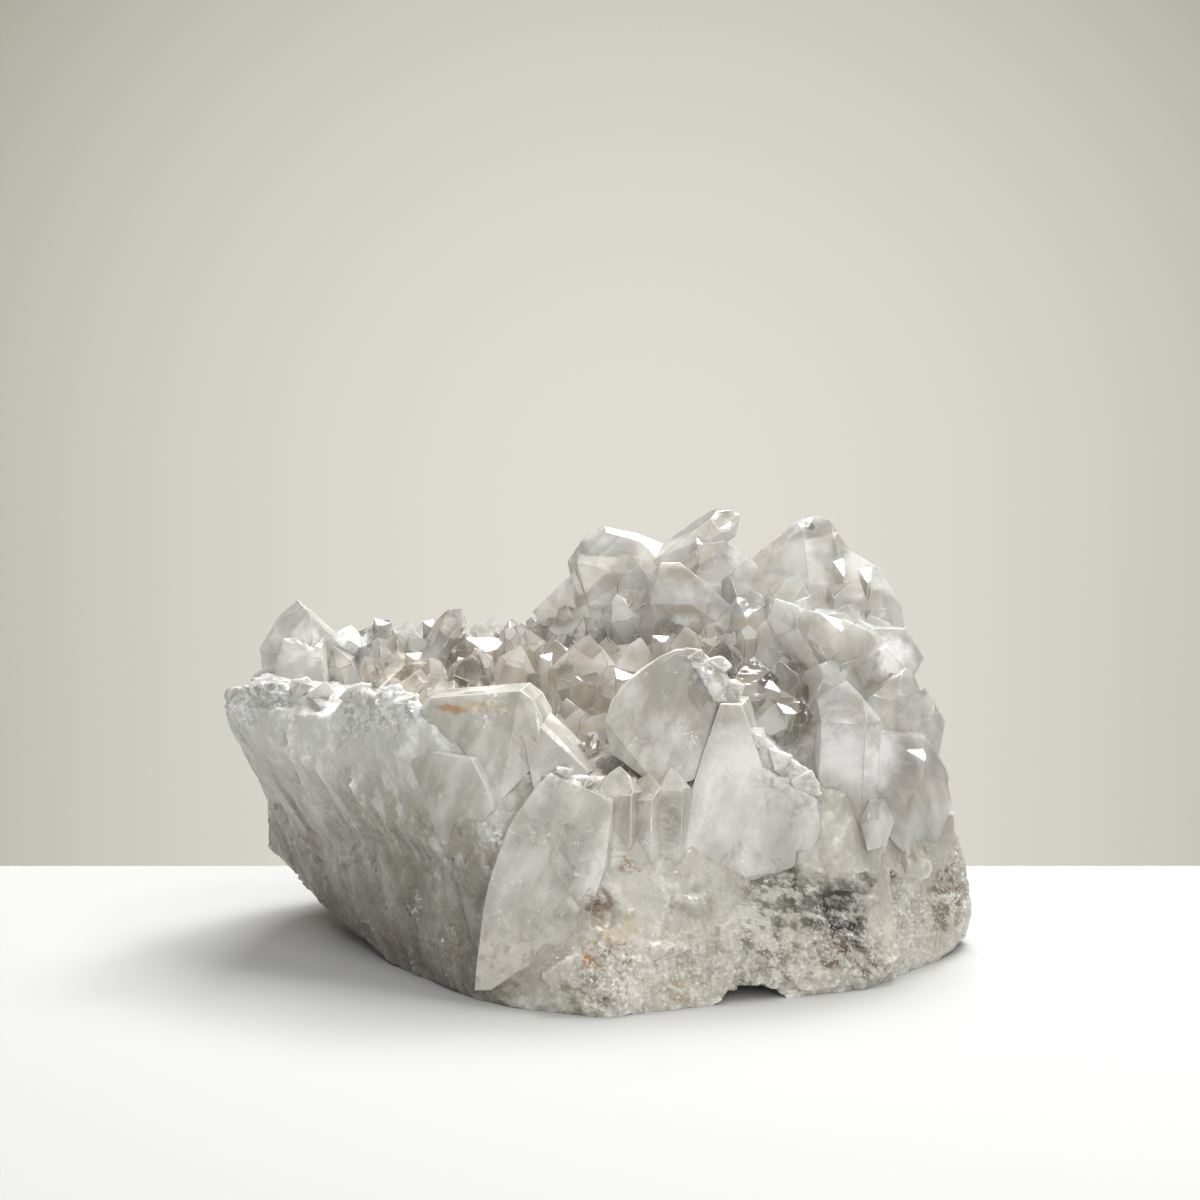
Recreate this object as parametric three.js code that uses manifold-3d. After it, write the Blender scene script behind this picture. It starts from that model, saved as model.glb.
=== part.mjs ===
// A quartz cluster: a broken block of massive milky quartz with large crystals on its rim and a pocket
// lined with small clear ones. Millimetres, +Z up, +X to the right and +Y to the back, standing at Z = 0.

import * as THREE from 'three';
import { ConvexGeometry } from 'three/addons/geometries/ConvexGeometry.js';
import { ImprovedNoise } from 'three/addons/math/ImprovedNoise.js';
import { mergeVertices } from 'three/addons/utils/BufferGeometryUtils.js';
import Module from 'manifold-3d';

const wasm = await Module();
wasm.setup();
const { Manifold, Mesh } = wasm;

// ---------------------------------------------------------------- driving dimensions

const ROCK_EDGE = 14; // longest triangle edge on the broken rock
const BACK_EDGE = 20; // the same on its back
const SOLE_EDGE = 40; // and on its flat sole
const ROCK_RELIEF = 2; // how far the broken surface stands in or out
const LEDGE_DIP = [0.42, 0, -0.9]; // down along the ledges of the left side
const LEDGE_SIDE = [0.6, 0.75, 0.3]; // and across them
const LEDGE_SIZE = [34, 6.5]; // length and width of a ledge
const LEDGE_HEIGHT = 1.5; // height of a ledge, where a lump is 1
const LEFT_SIDE = [10, 35]; // how far left of the middle the ledges begin, and where they are full
const LUMP_SIZES = [9, 5]; // of the broad lumps, and of the smaller ones, half as high
const NOISE_LEVELS = [3.1, 7.7]; // where the ledges and the lumps are read in the noise
const LEAST_HEIGHT = 0.2; // of a broken point above the sole
const RHOMB_ANGLE = THREE.MathUtils.degToRad(51.8); // between a rhomb face's normal and the long axis
const PLAIN_WIDTH = 11.5; // width below which a crystal's point is left plain
const UNEVEN = 0.13; // how unequal a crystal's prism faces are, as a share of its width
const SMALL_FACE = 0.1; // how far out every second face of the point lies, as a share of the width
const FACE_SPREAD = 0.05; // and how far each face of the point varies about its place
const PARALLEL = 1e-6; // a determinant below this means that three planes have no common corner
const TOUCHING = 1e-5; // how far outside a plane a corner may lie
const WELD = 1e-4; // how close two corners are joined
const CRUST_GAP = 0.3; // between the pocket's crust and the quartz around it
const CRUST_DEPTH = 4; // thickness of the crust's base layer
const CRUST_FOCUS = [-6, 2, 92]; // where the small crystals of the crust point
const CRUST_RINGS = [[0.2, 3], [0.52, 7], [0.78, 9], [0.98, 10]]; // size and count of each ring of them
const CRUST_REACH = [41, 17]; // half length and half width of the crust
const CRUST_SPAN = 50; // from the hollow's wall to that focus
const RING_TURN = 1 / 7; // of a whole turn, between one ring and the next
const RING_JITTER = 0.3; // how unevenly they stand round a ring
const SMALL_LEAN = [0.3, 0.3, 0.2]; // how far they lean aside, and how much they are righted
const SMALL_TALL = [5.5, 2.5]; // their height, and how much it varies
const SMALL_WIDE = [6.5, 1.8]; // their width, and how much it varies
const SIXTH = 60; // degrees between two faces of a prism
const BACK_Y = 30; // where the back begins
const FLAT = 0.01; // height below which a point lies on the sole
const SLIVER = 1e-3; // a face's double area below which it counts as none

// ---------------------------------------------------------------- solids from points and planes

const vec = (p) => new THREE.Vector3(...p);

// A repeatable number from -1 to 1 for a seed and an index.
function wobble(seed, index) {
  const s = Math.sin(seed * 127.1 + index * 311.7) * 43758.5453;
  return 2 * (s - Math.floor(s)) - 1;
}

function solidOf(geometry) {
  const bare = geometry.clone();
  bare.deleteAttribute('normal');
  bare.deleteAttribute('uv');
  const merged = mergeVertices(bare, WELD);
  return new Manifold(new Mesh({
    numProp: 3,
    vertProperties: new Float32Array(merged.attributes.position.array),
    triVerts: new Uint32Array(merged.index.array),
  }));
}

// The convex body around some points.
const chunk = (points) => solidOf(new ConvexGeometry(points.map(vec)));

const joined = (solids) => Manifold.union(solids);

// The corners of the convex body inside all planes, each plane a unit normal and a distance.
function cornersOf(planes) {
  const corners = [];
  const count = planes.length;
  for (let i = 0; i < count; i++) {
    for (let j = i + 1; j < count; j++) {
      for (let k = j + 1; k < count; k++) {
        const [a, b, c] = [planes[i], planes[j], planes[k]];
        const bc = b.n.clone().cross(c.n);
        const det = a.n.dot(bc);
        if (Math.abs(det) < PARALLEL) continue;
        const point = bc.multiplyScalar(a.d)
          .add(c.n.clone().cross(a.n).multiplyScalar(b.d))
          .add(a.n.clone().cross(b.n).multiplyScalar(c.d))
          .divideScalar(det);
        if (planes.every((p) => p.n.dot(point) <= p.d + TOUCHING)) corners.push(point);
      }
    }
  }
  return corners;
}

// The corners of a quartz crystal: a six-sided prism with a point of three large and three small faces.
// `tip` is the top of the point, `axis` the way it points, and `flat` narrows two opposite prism faces.
// A narrow crystal's point has only its large faces.
function crystal({ tip, axis, width, length, turn = 0, flat = 1, seed = 1 }) {
  const up = vec(axis).normalize();
  const side = new THREE.Vector3(0, 1, 0).cross(up).normalize();
  const front = up.clone().cross(side);
  const planes = [{ n: up.clone().negate(), d: length }];
  for (let k = 0; k < 6; k++) {
    const angle = THREE.MathUtils.degToRad(turn + SIXTH * k);
    const out = side.clone().multiplyScalar(Math.cos(angle)).addScaledVector(front, Math.sin(angle));
    const narrow = k % 3 === 0 ? flat : 1;
    planes.push({ n: out, d: (width / 2) * narrow * (1 + UNEVEN * wobble(seed, k)) });
    if (k % 2 > 0 && width < PLAIN_WIDTH) continue;
    const slope = out.clone()
      .multiplyScalar(Math.sin(RHOMB_ANGLE))
      .addScaledVector(up, Math.cos(RHOMB_ANGLE));
    const smaller = (k % 2) * SMALL_FACE + FACE_SPREAD * (1 + wobble(seed, k + 6));
    planes.push({ n: slope, d: width * smaller });
  }
  const corners = cornersOf(planes);
  const top = Math.max(...corners.map((c) => c.dot(up)));
  return corners.map((c) => c.addScaledVector(up, -top).add(vec(tip)).toArray());
}

// ---------------------------------------------------------------- broken rock

const noise = new ImprovedNoise();

function longestEdge(a, b) {
  if (Math.max(a.z, b.z) < FLAT) return SOLE_EDGE;
  return Math.min(a.y, b.y) > BACK_Y ? BACK_EDGE : ROCK_EDGE;
}

// Splits every edge that is too long at its middle until none is left.
function refined(solid) {
  const mesh = solid.getMesh();
  const points = [];
  for (let i = 0; i < mesh.vertProperties.length; i += mesh.numProp) {
    points.push(new THREE.Vector3().fromArray(mesh.vertProperties, i));
  }
  let faces = [];
  for (let i = 0; i < mesh.triVerts.length; i += 3) faces.push([...mesh.triVerts.slice(i, i + 3)]);
  for (let again = true; again;) {
    again = false;
    const middles = new Map();
    const middle = (a, b) => {
      if (points[a].distanceTo(points[b]) <= longestEdge(points[a], points[b])) return -1;
      const key = a < b ? `${a},${b}` : `${b},${a}`;
      if (!middles.has(key)) middles.set(key, points.push(points[a].clone().lerp(points[b], 0.5)) - 1);
      return middles.get(key);
    };
    const next = [];
    for (const [a, b, c] of faces) {
      const [ab, bc, ca] = [middle(a, b), middle(b, c), middle(c, a)];
      const split = [ab, bc, ca].filter((m) => m >= 0).length;
      again ||= split > 0;
      if (split === 0) next.push([a, b, c]);
      else if (split === 3) next.push([a, ab, ca], [ab, b, bc], [ca, bc, c], [ab, bc, ca]);
      else {
        // Turned so that the first edge is split and, where two are, the second one too.
        let [p, q, r, pq, qr] = [a, b, c, ab, bc];
        if (split === 2 && ab < 0) [p, q, r, pq, qr] = [b, c, a, bc, ca];
        if (split === 2 && bc < 0) [p, q, r, pq, qr] = [c, a, b, ca, ab];
        if (split === 1 && bc >= 0) [p, q, r, pq] = [b, c, a, bc];
        if (split === 1 && ca >= 0) [p, q, r, pq] = [c, a, b, ca];
        if (split === 1) next.push([p, pq, r], [pq, q, r]);
        else next.push([pq, q, qr], [p, pq, qr], [p, qr, r]);
      }
    }
    faces = next;
  }
  return { points, faces };
}

// How far the broken surface stands out at a point: long steep ledges on the left side, lumps elsewhere.
function relief(p) {
  const along = p.dot(vec(LEDGE_DIP));
  const across = p.dot(vec(LEDGE_SIDE));
  const ledges = noise.noise(along / LEDGE_SIZE[0], across / LEDGE_SIZE[1], NOISE_LEVELS[0]);
  const [broad, small] = LUMP_SIZES.map((size) => p.clone().divideScalar(size));
  const lumps = noise.noise(broad.x, broad.y, broad.z + NOISE_LEVELS[1])
    + noise.noise(small.x, small.y, small.z) / 2;
  const left = THREE.MathUtils.smoothstep(-p.x, ...LEFT_SIDE);
  return ROCK_RELIEF * (left * LEDGE_HEIGHT * ledges + (1 - left / 2) * lumps);
}

// The block with a broken surface. The flat sole, at Z = 0, stays flat.
function broken(solid) {
  const { points, faces } = refined(solid);
  const normals = points.map(() => new THREE.Vector3());
  for (const face of faces) {
    const [a, b, c] = face.map((i) => points[i]);
    const n = b.clone().sub(a).cross(c.clone().sub(a));
    face.forEach((i) => normals[i].add(n));
  }
  const moved = points.map((p, i) => {
    if (p.z < FLAT) return p;
    const out = p.clone().addScaledVector(normals[i].normalize(), relief(p));
    return out.setZ(Math.max(LEAST_HEIGHT, out.z));
  });
  const geometry = new THREE.BufferGeometry().setFromPoints(moved);
  geometry.setIndex(faces.flat());
  return solidOf(geometry);
}

// ---------------------------------------------------------------- the massive block

// The left foot and the wall that overhangs it, with its long broken face.
const leftFoot = [
  [-28, -43, 0], [-46, -19, 0], [-60, 20, 0], [-52, 44, 0], [8, 46, 0],
  [-62, 0, 7], [-72, 8, 14.5], [-80, 14, 21], [-80.5, 11, 32], [-76, 42, 30], [-62, 50, 14],
  [-26, -41.5, 20], [-24.5, -40, 28], [-14, -34, 44], [-64, -6, 44], [-70, 46, 42], [-10, 50, 40],
];
const leftWall = [
  [-89.5, 0, 58.5], [-86.5, 4, 50], [-80.5, 10.5, 34], [-78, 40, 36], [-82, 30, 62], [-60, 46, 64],
  [-63, -12.5, 59], [-40, -23, 60], [-14, -33, 49], [-25, -40, 26], [-55, -7, 14], [-30, -20, 30],
  [-30, 40, 50],
];
const backRim = [
  [-68, 26, 67], [-60, 48, 62], [-8, 48, 60], [-4, 31, 67], [-32, 29, 68], [-70, 40, 40], [-6, 50, 30],
  [-50, 20, 50], [-10, 24, 50],
];

// The front: a sharp curved corner edge on the left, a face leaning back, and a foot that flares right.
const frontFoot = [
  [-28, -43, 0], [-27, -43.5, 14], [-24.8, -41, 27], [-20.3, -37, 40], [-12.4, -33.5, 50], [4, -32, 49],
  [-18, -50, 0], [0, -57, 0], [22, -44, 0], [61, -35, 0], [80, -11, 0], [80, 20, 0],
  [56, 46, 0], [4, 50, 0], [2, -52, 14], [24, -43, 18], [50, -35, 18],
  [74, -15, 20], [86.5, 3, 18], [89, 2, 9], [87.5, 2, 2], [80, 36, 12], [62, 50, 22],
  [46, -22, 42], [60, 40, 45], [-20, 46, 50],
];
const rightBody = [
  [40, -31, 26], [60, -33, 10], [78, -13, 12], [88, 2, 12], [84, 6, 30],
  [80, 7, 48], [77, 7, 61], [72, 8, 70], [60, 44, 60], [74, 36, 40], [72, 36, 20], [30, 40, 60],
  [64, -14, 46], [58, -6, 62], [40, -18, 50], [20, 0, 50],
];
const backRidge = [
  [-10, 30, 56], [4, 26, 68], [34, 16, 72], [62, 6, 70], [74, 12, 68], [68, 26, 80], [54, 34, 88],
  [26, 40, 88], [2, 44, 84], [-14, 44, 66], [8, 54, 40], [58, 48, 44], [76, 24, 50], [44, -8, 50],
];
// The broken back: two overlapping bosses and a ledge.
const backBoss = [
  [-34, 46, 4], [-24, 54, 16], [-2, 57, 30], [8, 54, 58], [-16, 50, 60], [-38, 48, 38], [6, 50, 4],
  [0, 36, 30], [-40, 36, 20],
];
const rightBoss = [
  [22, 50, 3], [40, 55, 14], [66, 44, 24], [64, 42, 66], [40, 48, 74], [20, 51, 50], [50, 30, 30],
  [70, 34, 8],
];

const hollow = [
  [-50, -6, 61], [-36, -15, 58], [-14, -20, 49], [4, -17, 47], [24, -8, 50], [38, -8, 54], [42, 4, 64],
  [18, 20, 66], [-8, 26, 60], [-38, 26, 60], [-54, 14, 63], [-20, 4, 42], [2, 2, 41], [-12, -6, 41],
  [-60, 0, 104], [-30, -34, 104], [10, -34, 104], [46, -14, 104], [48, 8, 104], [16, 22, 104],
  [-40, 30, 104],
];

// A shallow arch under the front foot.
const arch = [
  [24, -60, -1], [31, -60, 4.5], [37, -60, 5], [46, -60, -1],
  [27, -22, -1], [31, -24, 2], [36, -24, 2], [41, -22, -1],
];

const masses = [leftFoot, leftWall, backRim, frontFoot, rightBody, backRidge, backBoss, rightBoss];
const block = broken(joined(masses.map(chunk)))
  .subtract(chunk(hollow))
  .subtract(chunk(arch));

// ---------------------------------------------------------------- slabs and crystals on the block

// The same outline again, moved back into the rock.
const plate = (outline, back) => [...outline, ...outline.map((p) => p.map((c, i) => c + back[i]))];

const slabs = [
  // The rough corner and the curved crest of the left rim, with broken facets under it.
  [[-62.5, -12, 60], [-58.9, -13, 65.5], [-46, -15, 66.5], [-40, -22, 63.5], [-44, -25, 52], [-60, -13, 50],
    [-52, -4, 60]],
  plate([[-41, -22, 63], [-38.7, -22.5, 65.5], [-29.5, -26, 64], [-18, -28, 68.3], [-13, -28, 62],
    [-12.4, -33.5, 51], [-22, -36.5, 40], [-38, -28, 46]], [2, 9, 0]),
  plate([[-50, -18.5, 45], [-38, -27.4, 54], [-29, -31.5, 53], [-24, -35.5, 42], [-35.5, -33.2, 33],
    [-46.5, -23, 38]], [6, 9, 0]),
  // The left end: a rough lip and a blocky crystal against the wide one.
  [[-89.5, 1, 59], [-84, -1, 64], [-76, -2, 65], [-66, -4, 63], [-62, -8, 60], [-80, 12, 64], [-66, 10, 62],
    [-84, 6, 56]],
  [[-77.5, 9, 66.5], [-66.5, 10, 68.5], [-64, 7, 58], [-76, 6, 57], [-76, 16, 72], [-66, 17, 73],
    [-64, 20, 60]],
  // The tall milky slab in the middle, and the white one right of it with its rough notch.
  [[2.3, -29, 54], [1, -27, 61], [5, -22, 68], [13.7, -20, 74.5], [20.6, -18, 76], [27.5, -17, 72],
    [32.1, -18, 64], [31, -26, 50], [13.6, -33, 46], [16, -25, 66], [5, -12, 60], [22, -8, 72], [31, -8, 60],
    [18, -16, 44]],
  plate([[27.4, -23, 64.3], [32.4, -22.5, 64], [35, -25, 56], [37, -26.5, 51], [41, -37, 25],
    [15.4, -41, 24.9], [18.2, -35, 38.8], [22.8, -29, 51.9]], [2, 9, 0]),
  plate([[35, -26.2, 53], [43.4, -27.4, 47.5], [49.4, -27.8, 44.3], [51, -34.5, 27.4], [36, -37.8, 25]],
    [2, 9, 0]),
  // The rounded white crystal on the right, the leaf and the pale column below it.
  [[59, -1, 73.8], [64, 1, 77.2], [72, 4, 76.6], [76.4, 4, 69.5], [73.5, -1, 65.5], [61, -4, 69],
    [67, -2, 73], [64, 14, 76], [74, 14, 72], [64, 8, 62]],
  [[58, -26, 36], [63, -25, 41.5], [67.5, -20, 34], [62, -29, 31], [60, -14, 38], [62, -14, 30]],
  [[61.5, -28, 24], [66.5, -24, 26], [62, -35, 2], [69, -29, 2], [62, -24, 30], [60, -15, 20], [70, -15, 10]],
  // The back ridge: a blocky crystal, the arch-shaped one in front of it, and the mass under the leaning one.
  [[-5.6, 31, 88], [-4.4, 36, 93.7], [1.2, 37, 95.7], [16.4, 38, 91], [8, 30, 90], [17, 30, 86], [-3, 28, 78],
    [18, 27, 78], [-8, 44, 86], [14, 48, 84], [-2, 46, 70], [18, 46, 70], [-4, 30, 66]],
  [[11.3, 22, 84.7], [14.5, 22.5, 89.3], [19.3, 22.5, 89.3], [25.3, 21, 84.7], [31.7, 18, 79.3], [12, 18, 80],
    [22, 16.5, 80], [28, 16, 76], [10, 20, 70], [30, 16, 68], [16, 34, 87], [24, 34, 84], [14, 34, 66],
    [30, 30, 66]],
  [[14, 40, 88], [24, 38, 94], [33, 36, 91], [37, 32, 87], [30, 44, 84], [30, 28, 84], [20, 30, 70],
    [38, 30, 70]],
  // The great crystal of the ridge with its hexagonal cap, the smooth shoulder right of it, and its foot.
  [[47.7, 29, 98.5], [52, 29, 99.8], [55.5, 28, 98.8], [55, 25, 95], [49, 24, 95.4], [44.8, 28, 95.5],
    [38.7, 26, 90.2], [35, 28, 88], [36, 19, 80], [37, 15, 72], [58.4, 26, 93.7], [62.6, 22, 88],
    [60, 13, 78], [50, 13, 81], [40, 42, 86], [56, 42, 90], [62, 36, 82], [50, 46, 66]],
  [[58.4, 26, 93], [62.6, 24, 90.6], [67.3, 22, 88.3], [69.8, 20, 83], [71.9, 18, 79.7], [72.6, 11, 74],
    [63, 13, 82], [57, 14, 80], [66, 36, 82], [56, 40, 86], [73, 26, 70], [60, 8, 72]],
  [[34, 12, 74], [44, 9, 78], [58, 6, 80], [66, 4, 76], [62, -2, 66], [46, -3, 60], [34, 6, 62], [30, 14, 66],
    [60, 20, 80], [40, 20, 80], [50, 20, 68]],
];

const crystals = [
  // Left rim, back: a wide clear one, its smooth neighbour, and small ones along the rim.
  { tip: [-72.7, 24, 80], axis: [-0.12, 0.05, 1], width: 20, length: 40, turn: 5, seed: 2 },
  { tip: [-60.5, 27, 73.5], axis: [0.12, 0.05, 1], width: 13, length: 26, turn: 25, seed: 5 },
  { tip: [-54, 31, 73], axis: [-0.25, 0, 1], width: 9, length: 18, turn: 40, seed: 8 },
  { tip: [-46.5, 33, 73], axis: [0.2, 0.1, 1], width: 9, length: 18, turn: 10, seed: 9 },
  { tip: [-40, 31, 72], axis: [-0.2, -0.1, 1], width: 8, length: 18, turn: 22, seed: 10 },
  { tip: [-26, 23, 72], axis: [0.35, -0.4, 1], width: 12, length: 22, turn: 20, seed: 11 },
  { tip: [-19, 31, 73], axis: [-0.2, 0, 1], width: 9, length: 20, turn: 33, seed: 12 },
  { tip: [-11, 32, 74], axis: [0.3, -0.1, 1], width: 9, length: 22, turn: 8, seed: 13 },
  { tip: [-29, 34, 73], axis: [0.1, 0.1, 1], width: 8, length: 20, turn: 28, seed: 15 },
  { tip: [-4, 30, 79], axis: [-0.3, -0.2, 1], width: 10, length: 24, turn: 28, seed: 16 },
  // A sharp blade leaning right over the hollow.
  { tip: [-33.5, 22, 78.5], axis: [0.5, 0.05, 0.86], width: 9, length: 26, turn: 12, flat: 0.6, seed: 7 },
  // The ridge, left to right: small ones round the great ones.
  { tip: [4, 23, 82], axis: [-0.25, -0.35, 1], width: 11, length: 26, turn: 30, seed: 24 },
  { tip: [9, 28, 88], axis: [-0.1, -0.3, 1], width: 10, length: 26, turn: 12, seed: 20 },
  { tip: [33.8, 35, 99.7], axis: [0.8, 0, 0.6], width: 9.5, length: 26, turn: 9, flat: 0.8, seed: 27 },
  { tip: [28, 30, 91], axis: [0.1, -0.2, 1], width: 11, length: 26, turn: 28, seed: 28 },
  { tip: [36, 25, 90], axis: [0.1, -0.25, 1], width: 11, length: 28, turn: 35, seed: 29 },
  { tip: [33, 15, 80], axis: [0.2, -0.4, 0.9], width: 9, length: 22, turn: 16, seed: 26 },
  { tip: [47, 15, 88], axis: [0.25, -0.3, 0.9], width: 11, length: 28, turn: 26, seed: 31 },
  { tip: [62, 13, 87], axis: [0.35, -0.3, 0.9], width: 11, length: 28, turn: 18, seed: 32 },
  // Long crystals leaning left over the hollow's right end.
  { tip: [41, 4, 84], axis: [-0.52, -0.1, 0.85], width: 9, length: 34, turn: 10, flat: 0.75, seed: 33 },
  { tip: [49, 3, 81], axis: [-0.48, -0.1, 0.87], width: 9, length: 32, turn: 32, flat: 0.8, seed: 34 },
  { tip: [56, 1, 79], axis: [-0.35, -0.15, 0.92], width: 10, length: 28, turn: 20, seed: 35 },
  // Clear ones between the white slab and the prism.
  { tip: [36, -7, 71], axis: [-0.3, -0.2, 1], width: 10, length: 28, turn: 14, seed: 36 },
  { tip: [43, -9, 67], axis: [0.1, -0.25, 1], width: 10, length: 28, turn: 36, seed: 37 },
  { tip: [44, -17, 58], axis: [0.3, -0.3, 1], width: 9, length: 22, turn: 5, seed: 38 },
  { tip: [37, -14, 62], axis: [-0.2, -0.3, 1], width: 9, length: 22, turn: 25, seed: 39 },
  // The prism at the right and the blocky ones beside it.
  { tip: [57, -12, 67.5], axis: [0.04, 0.1, 1], width: 17.5, length: 44, turn: 12, flat: 0.85, seed: 40 },
  { tip: [69.5, -4, 67], axis: [0.1, -0.05, 1], width: 12, length: 32, turn: 25, seed: 41 },
  { tip: [76.5, 1, 63], axis: [0.15, -0.05, 1], width: 10, length: 30, turn: 8, seed: 42 },
  { tip: [71, -8, 53], axis: [0.2, -0.15, 1], width: 12, length: 26, turn: 30, seed: 43 },
  { tip: [78, -1, 50], axis: [0.22, -0.1, 1], width: 10, length: 24, turn: 16, seed: 44 },
  { tip: [64, -16, 47], axis: [0.1, -0.1, 1], width: 10, length: 24, turn: 3, seed: 45 },
  // Short columns below the middle slab.
  { tip: [5.5, -33.5, 51], axis: [0.03, 0.22, 1], width: 8.5, length: 28, turn: 20, seed: 46 },
  { tip: [11.5, -34, 47.5], axis: [0, 0.22, 1], width: 7.5, length: 24, turn: 40, seed: 47 },
  { tip: [16, -33, 50], axis: [0.05, 0.22, 1], width: 6.5, length: 24, turn: 12, seed: 48 },
].map(crystal);

const cluster = joined([block, ...[...slabs, ...crystals].map(chunk)]);

// ---------------------------------------------------------------- the crust of small crystals in the hollow

// The points of a convex body, grown about its middle so that every face moves out by at least `by`.
function grown(points, by) {
  const middle = points.reduce((sum, p) => sum.add(vec(p)), new THREE.Vector3()).divideScalar(points.length);
  const reach = Math.min(...facesOf(points).map((f) => f.d - f.n.dot(middle)));
  return points.map((p) => vec(p).sub(middle).multiplyScalar(1 + by / reach).add(middle).toArray());
}

// The face planes of the convex body around some points.
function facesOf(points) {
  const corner = new ConvexGeometry(points.map(vec)).attributes.position;
  const faces = [];
  for (let i = 0; i < corner.count; i += 3) {
    const [a, b, c] = [0, 1, 2].map((k) => new THREE.Vector3().fromBufferAttribute(corner, i + k));
    const n = b.sub(a).cross(c.sub(a));
    if (n.length() > SLIVER) faces.push({ n: n.normalize(), d: n.dot(a) });
  }
  return faces;
}

const above = new THREE.Vector3(...CRUST_FOCUS);
const lining = grown(hollow, -CRUST_GAP);
const inward = 1 - CRUST_DEPTH / CRUST_SPAN;
const cavity = lining.map((p) => vec(p).sub(above).multiplyScalar(inward).add(above).toArray());
const lid = [
  [-62, -40, 50], [-62, 40, 71], [50, 40, 76], [50, -40, 38], [-62, -40, 20], [-62, 40, 20], [50, 40, 20],
  [50, -40, 20],
];

// Small crystals stand on the lining in rings round the hollow, pointing up towards the middle of its mouth.
function druse() {
  const under = facesOf(cavity).filter((f) => f.n.z < 0);
  const small = [];
  CRUST_RINGS.forEach(([size, count], ring) => {
    for (let k = 0; k < count; k++) {
      const seed = 100 + 20 * ring + k;
      const round = ((k + RING_JITTER * wobble(seed, 1)) / count + ring * RING_TURN) * 2 * Math.PI;
      const x = above.x + CRUST_REACH[0] * size * Math.cos(round);
      const y = above.y + CRUST_REACH[1] * size * Math.sin(round);
      const floor = Math.max(...under.map((f) => (f.d - f.n.x * x - f.n.y * y) / f.n.z));
      const foot = new THREE.Vector3(x, y, floor);
      const lean = vec([SMALL_LEAN[0] * wobble(seed, 3), SMALL_LEAN[1] * wobble(seed, 4), SMALL_LEAN[2]]);
      const axis = above.clone().sub(foot).normalize().add(lean).normalize();
      const tall = SMALL_TALL[0] + SMALL_TALL[1] * wobble(seed, 5);
      small.push(crystal({
        tip: foot.clone().addScaledVector(axis, tall).toArray(),
        axis: axis.toArray(),
        width: SMALL_WIDE[0] + SMALL_WIDE[1] * wobble(seed, 6),
        length: tall + CRUST_DEPTH / 2,
        turn: SIXTH * wobble(seed, 7),
        seed,
      }));
    }
  });
  return small;
}

// The largest ones in the hollow.
const pocketCrystals = [
  { tip: [-2.8, 2, 75.6], axis: [0.05, 0.1, 1], width: 15, length: 32, turn: 14, seed: 61 },
  { tip: [9, 10, 73.5], axis: [0.2, -0.2, 1], width: 12, length: 28, turn: 32, seed: 62 },
  { tip: [6, -5, 68], axis: [0.4, -0.3, 1], width: 9, length: 26, turn: 8, seed: 63 },
  { tip: [-8, -12, 63], axis: [-0.2, -0.3, 1], width: 9, length: 24, turn: 22, seed: 64 },
  { tip: [1, -13, 60], axis: [0.3, -0.2, 1], width: 9, length: 20, turn: 5, seed: 65 },
  { tip: [-18.5, 13, 71], axis: [0.3, -0.2, 1], width: 9, length: 30, turn: 26, seed: 66 },
  { tip: [-11, 14, 72], axis: [-0.3, -0.2, 1], width: 10, length: 30, turn: 12, seed: 67 },
  { tip: [20, 10, 76], axis: [-0.2, -0.2, 1], width: 11, length: 28, turn: 24, seed: 68 },
  { tip: [28.5, 3, 74], axis: [-0.1, -0.3, 1], width: 11, length: 26, turn: 6, seed: 69 },
  { tip: [-38.5, 5, 70], axis: [0.3, 0, 1], width: 8, length: 22, turn: 30, seed: 70 },
  { tip: [-29, 8, 70], axis: [0.35, -0.1, 1], width: 9, length: 28, turn: 17, seed: 71 },
].map(crystal);

const shell = chunk(lining).subtract(chunk(cavity)).intersect(chunk(lid));
const around = [...slabs, ...crystals].map((points) => chunk(grown(points, CRUST_GAP)));
const crust = joined([shell, ...[...druse(), ...pocketCrystals].map(chunk)])
  .intersect(chunk(lining))
  .subtract(joined(around));

// ---------------------------------------------------------------- the scene

function meshOf(solid, name, material) {
  const { numProp, vertProperties, triVerts } = solid.getMesh();
  const points = [];
  for (let i = 0; i < vertProperties.length; i += numProp) points.push(...vertProperties.slice(i, i + 3));
  const geometry = new THREE.BufferGeometry();
  geometry.setAttribute('position', new THREE.Float32BufferAttribute(points, 3));
  geometry.setIndex([...triVerts]);
  const result = new THREE.Mesh(geometry, material);
  result.name = name;
  return result;
}

const milkyQuartz = new THREE.MeshStandardMaterial({ color: 0xd6d4cc, roughness: 0.35, metalness: 0 });
const smokyQuartz = new THREE.MeshStandardMaterial({ color: 0xbcb3a4, roughness: 0.1, metalness: 0 });

const specimen = new THREE.Group();
specimen.add(meshOf(cluster, 'quartz_cluster', milkyQuartz));
specimen.add(meshOf(crust, 'pocket_crystals', smokyQuartz));

// The origin is under the middle of the whole piece.
const middle = new THREE.Box3().setFromObject(specimen).getCenter(new THREE.Vector3());
specimen.position.set(-middle.x, -middle.y, 0);

export default specimen;
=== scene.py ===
"""The look of a quartz cluster: a broken block with slabs and crystals, and a pocket of clear ones.

Shapes are in millimetres, in the frame they were laid out in. SHIFT carries that frame to the row's own.
"""

import itertools
import math

import bmesh
import bpy
import numpy as np
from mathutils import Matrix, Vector, noise


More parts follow.
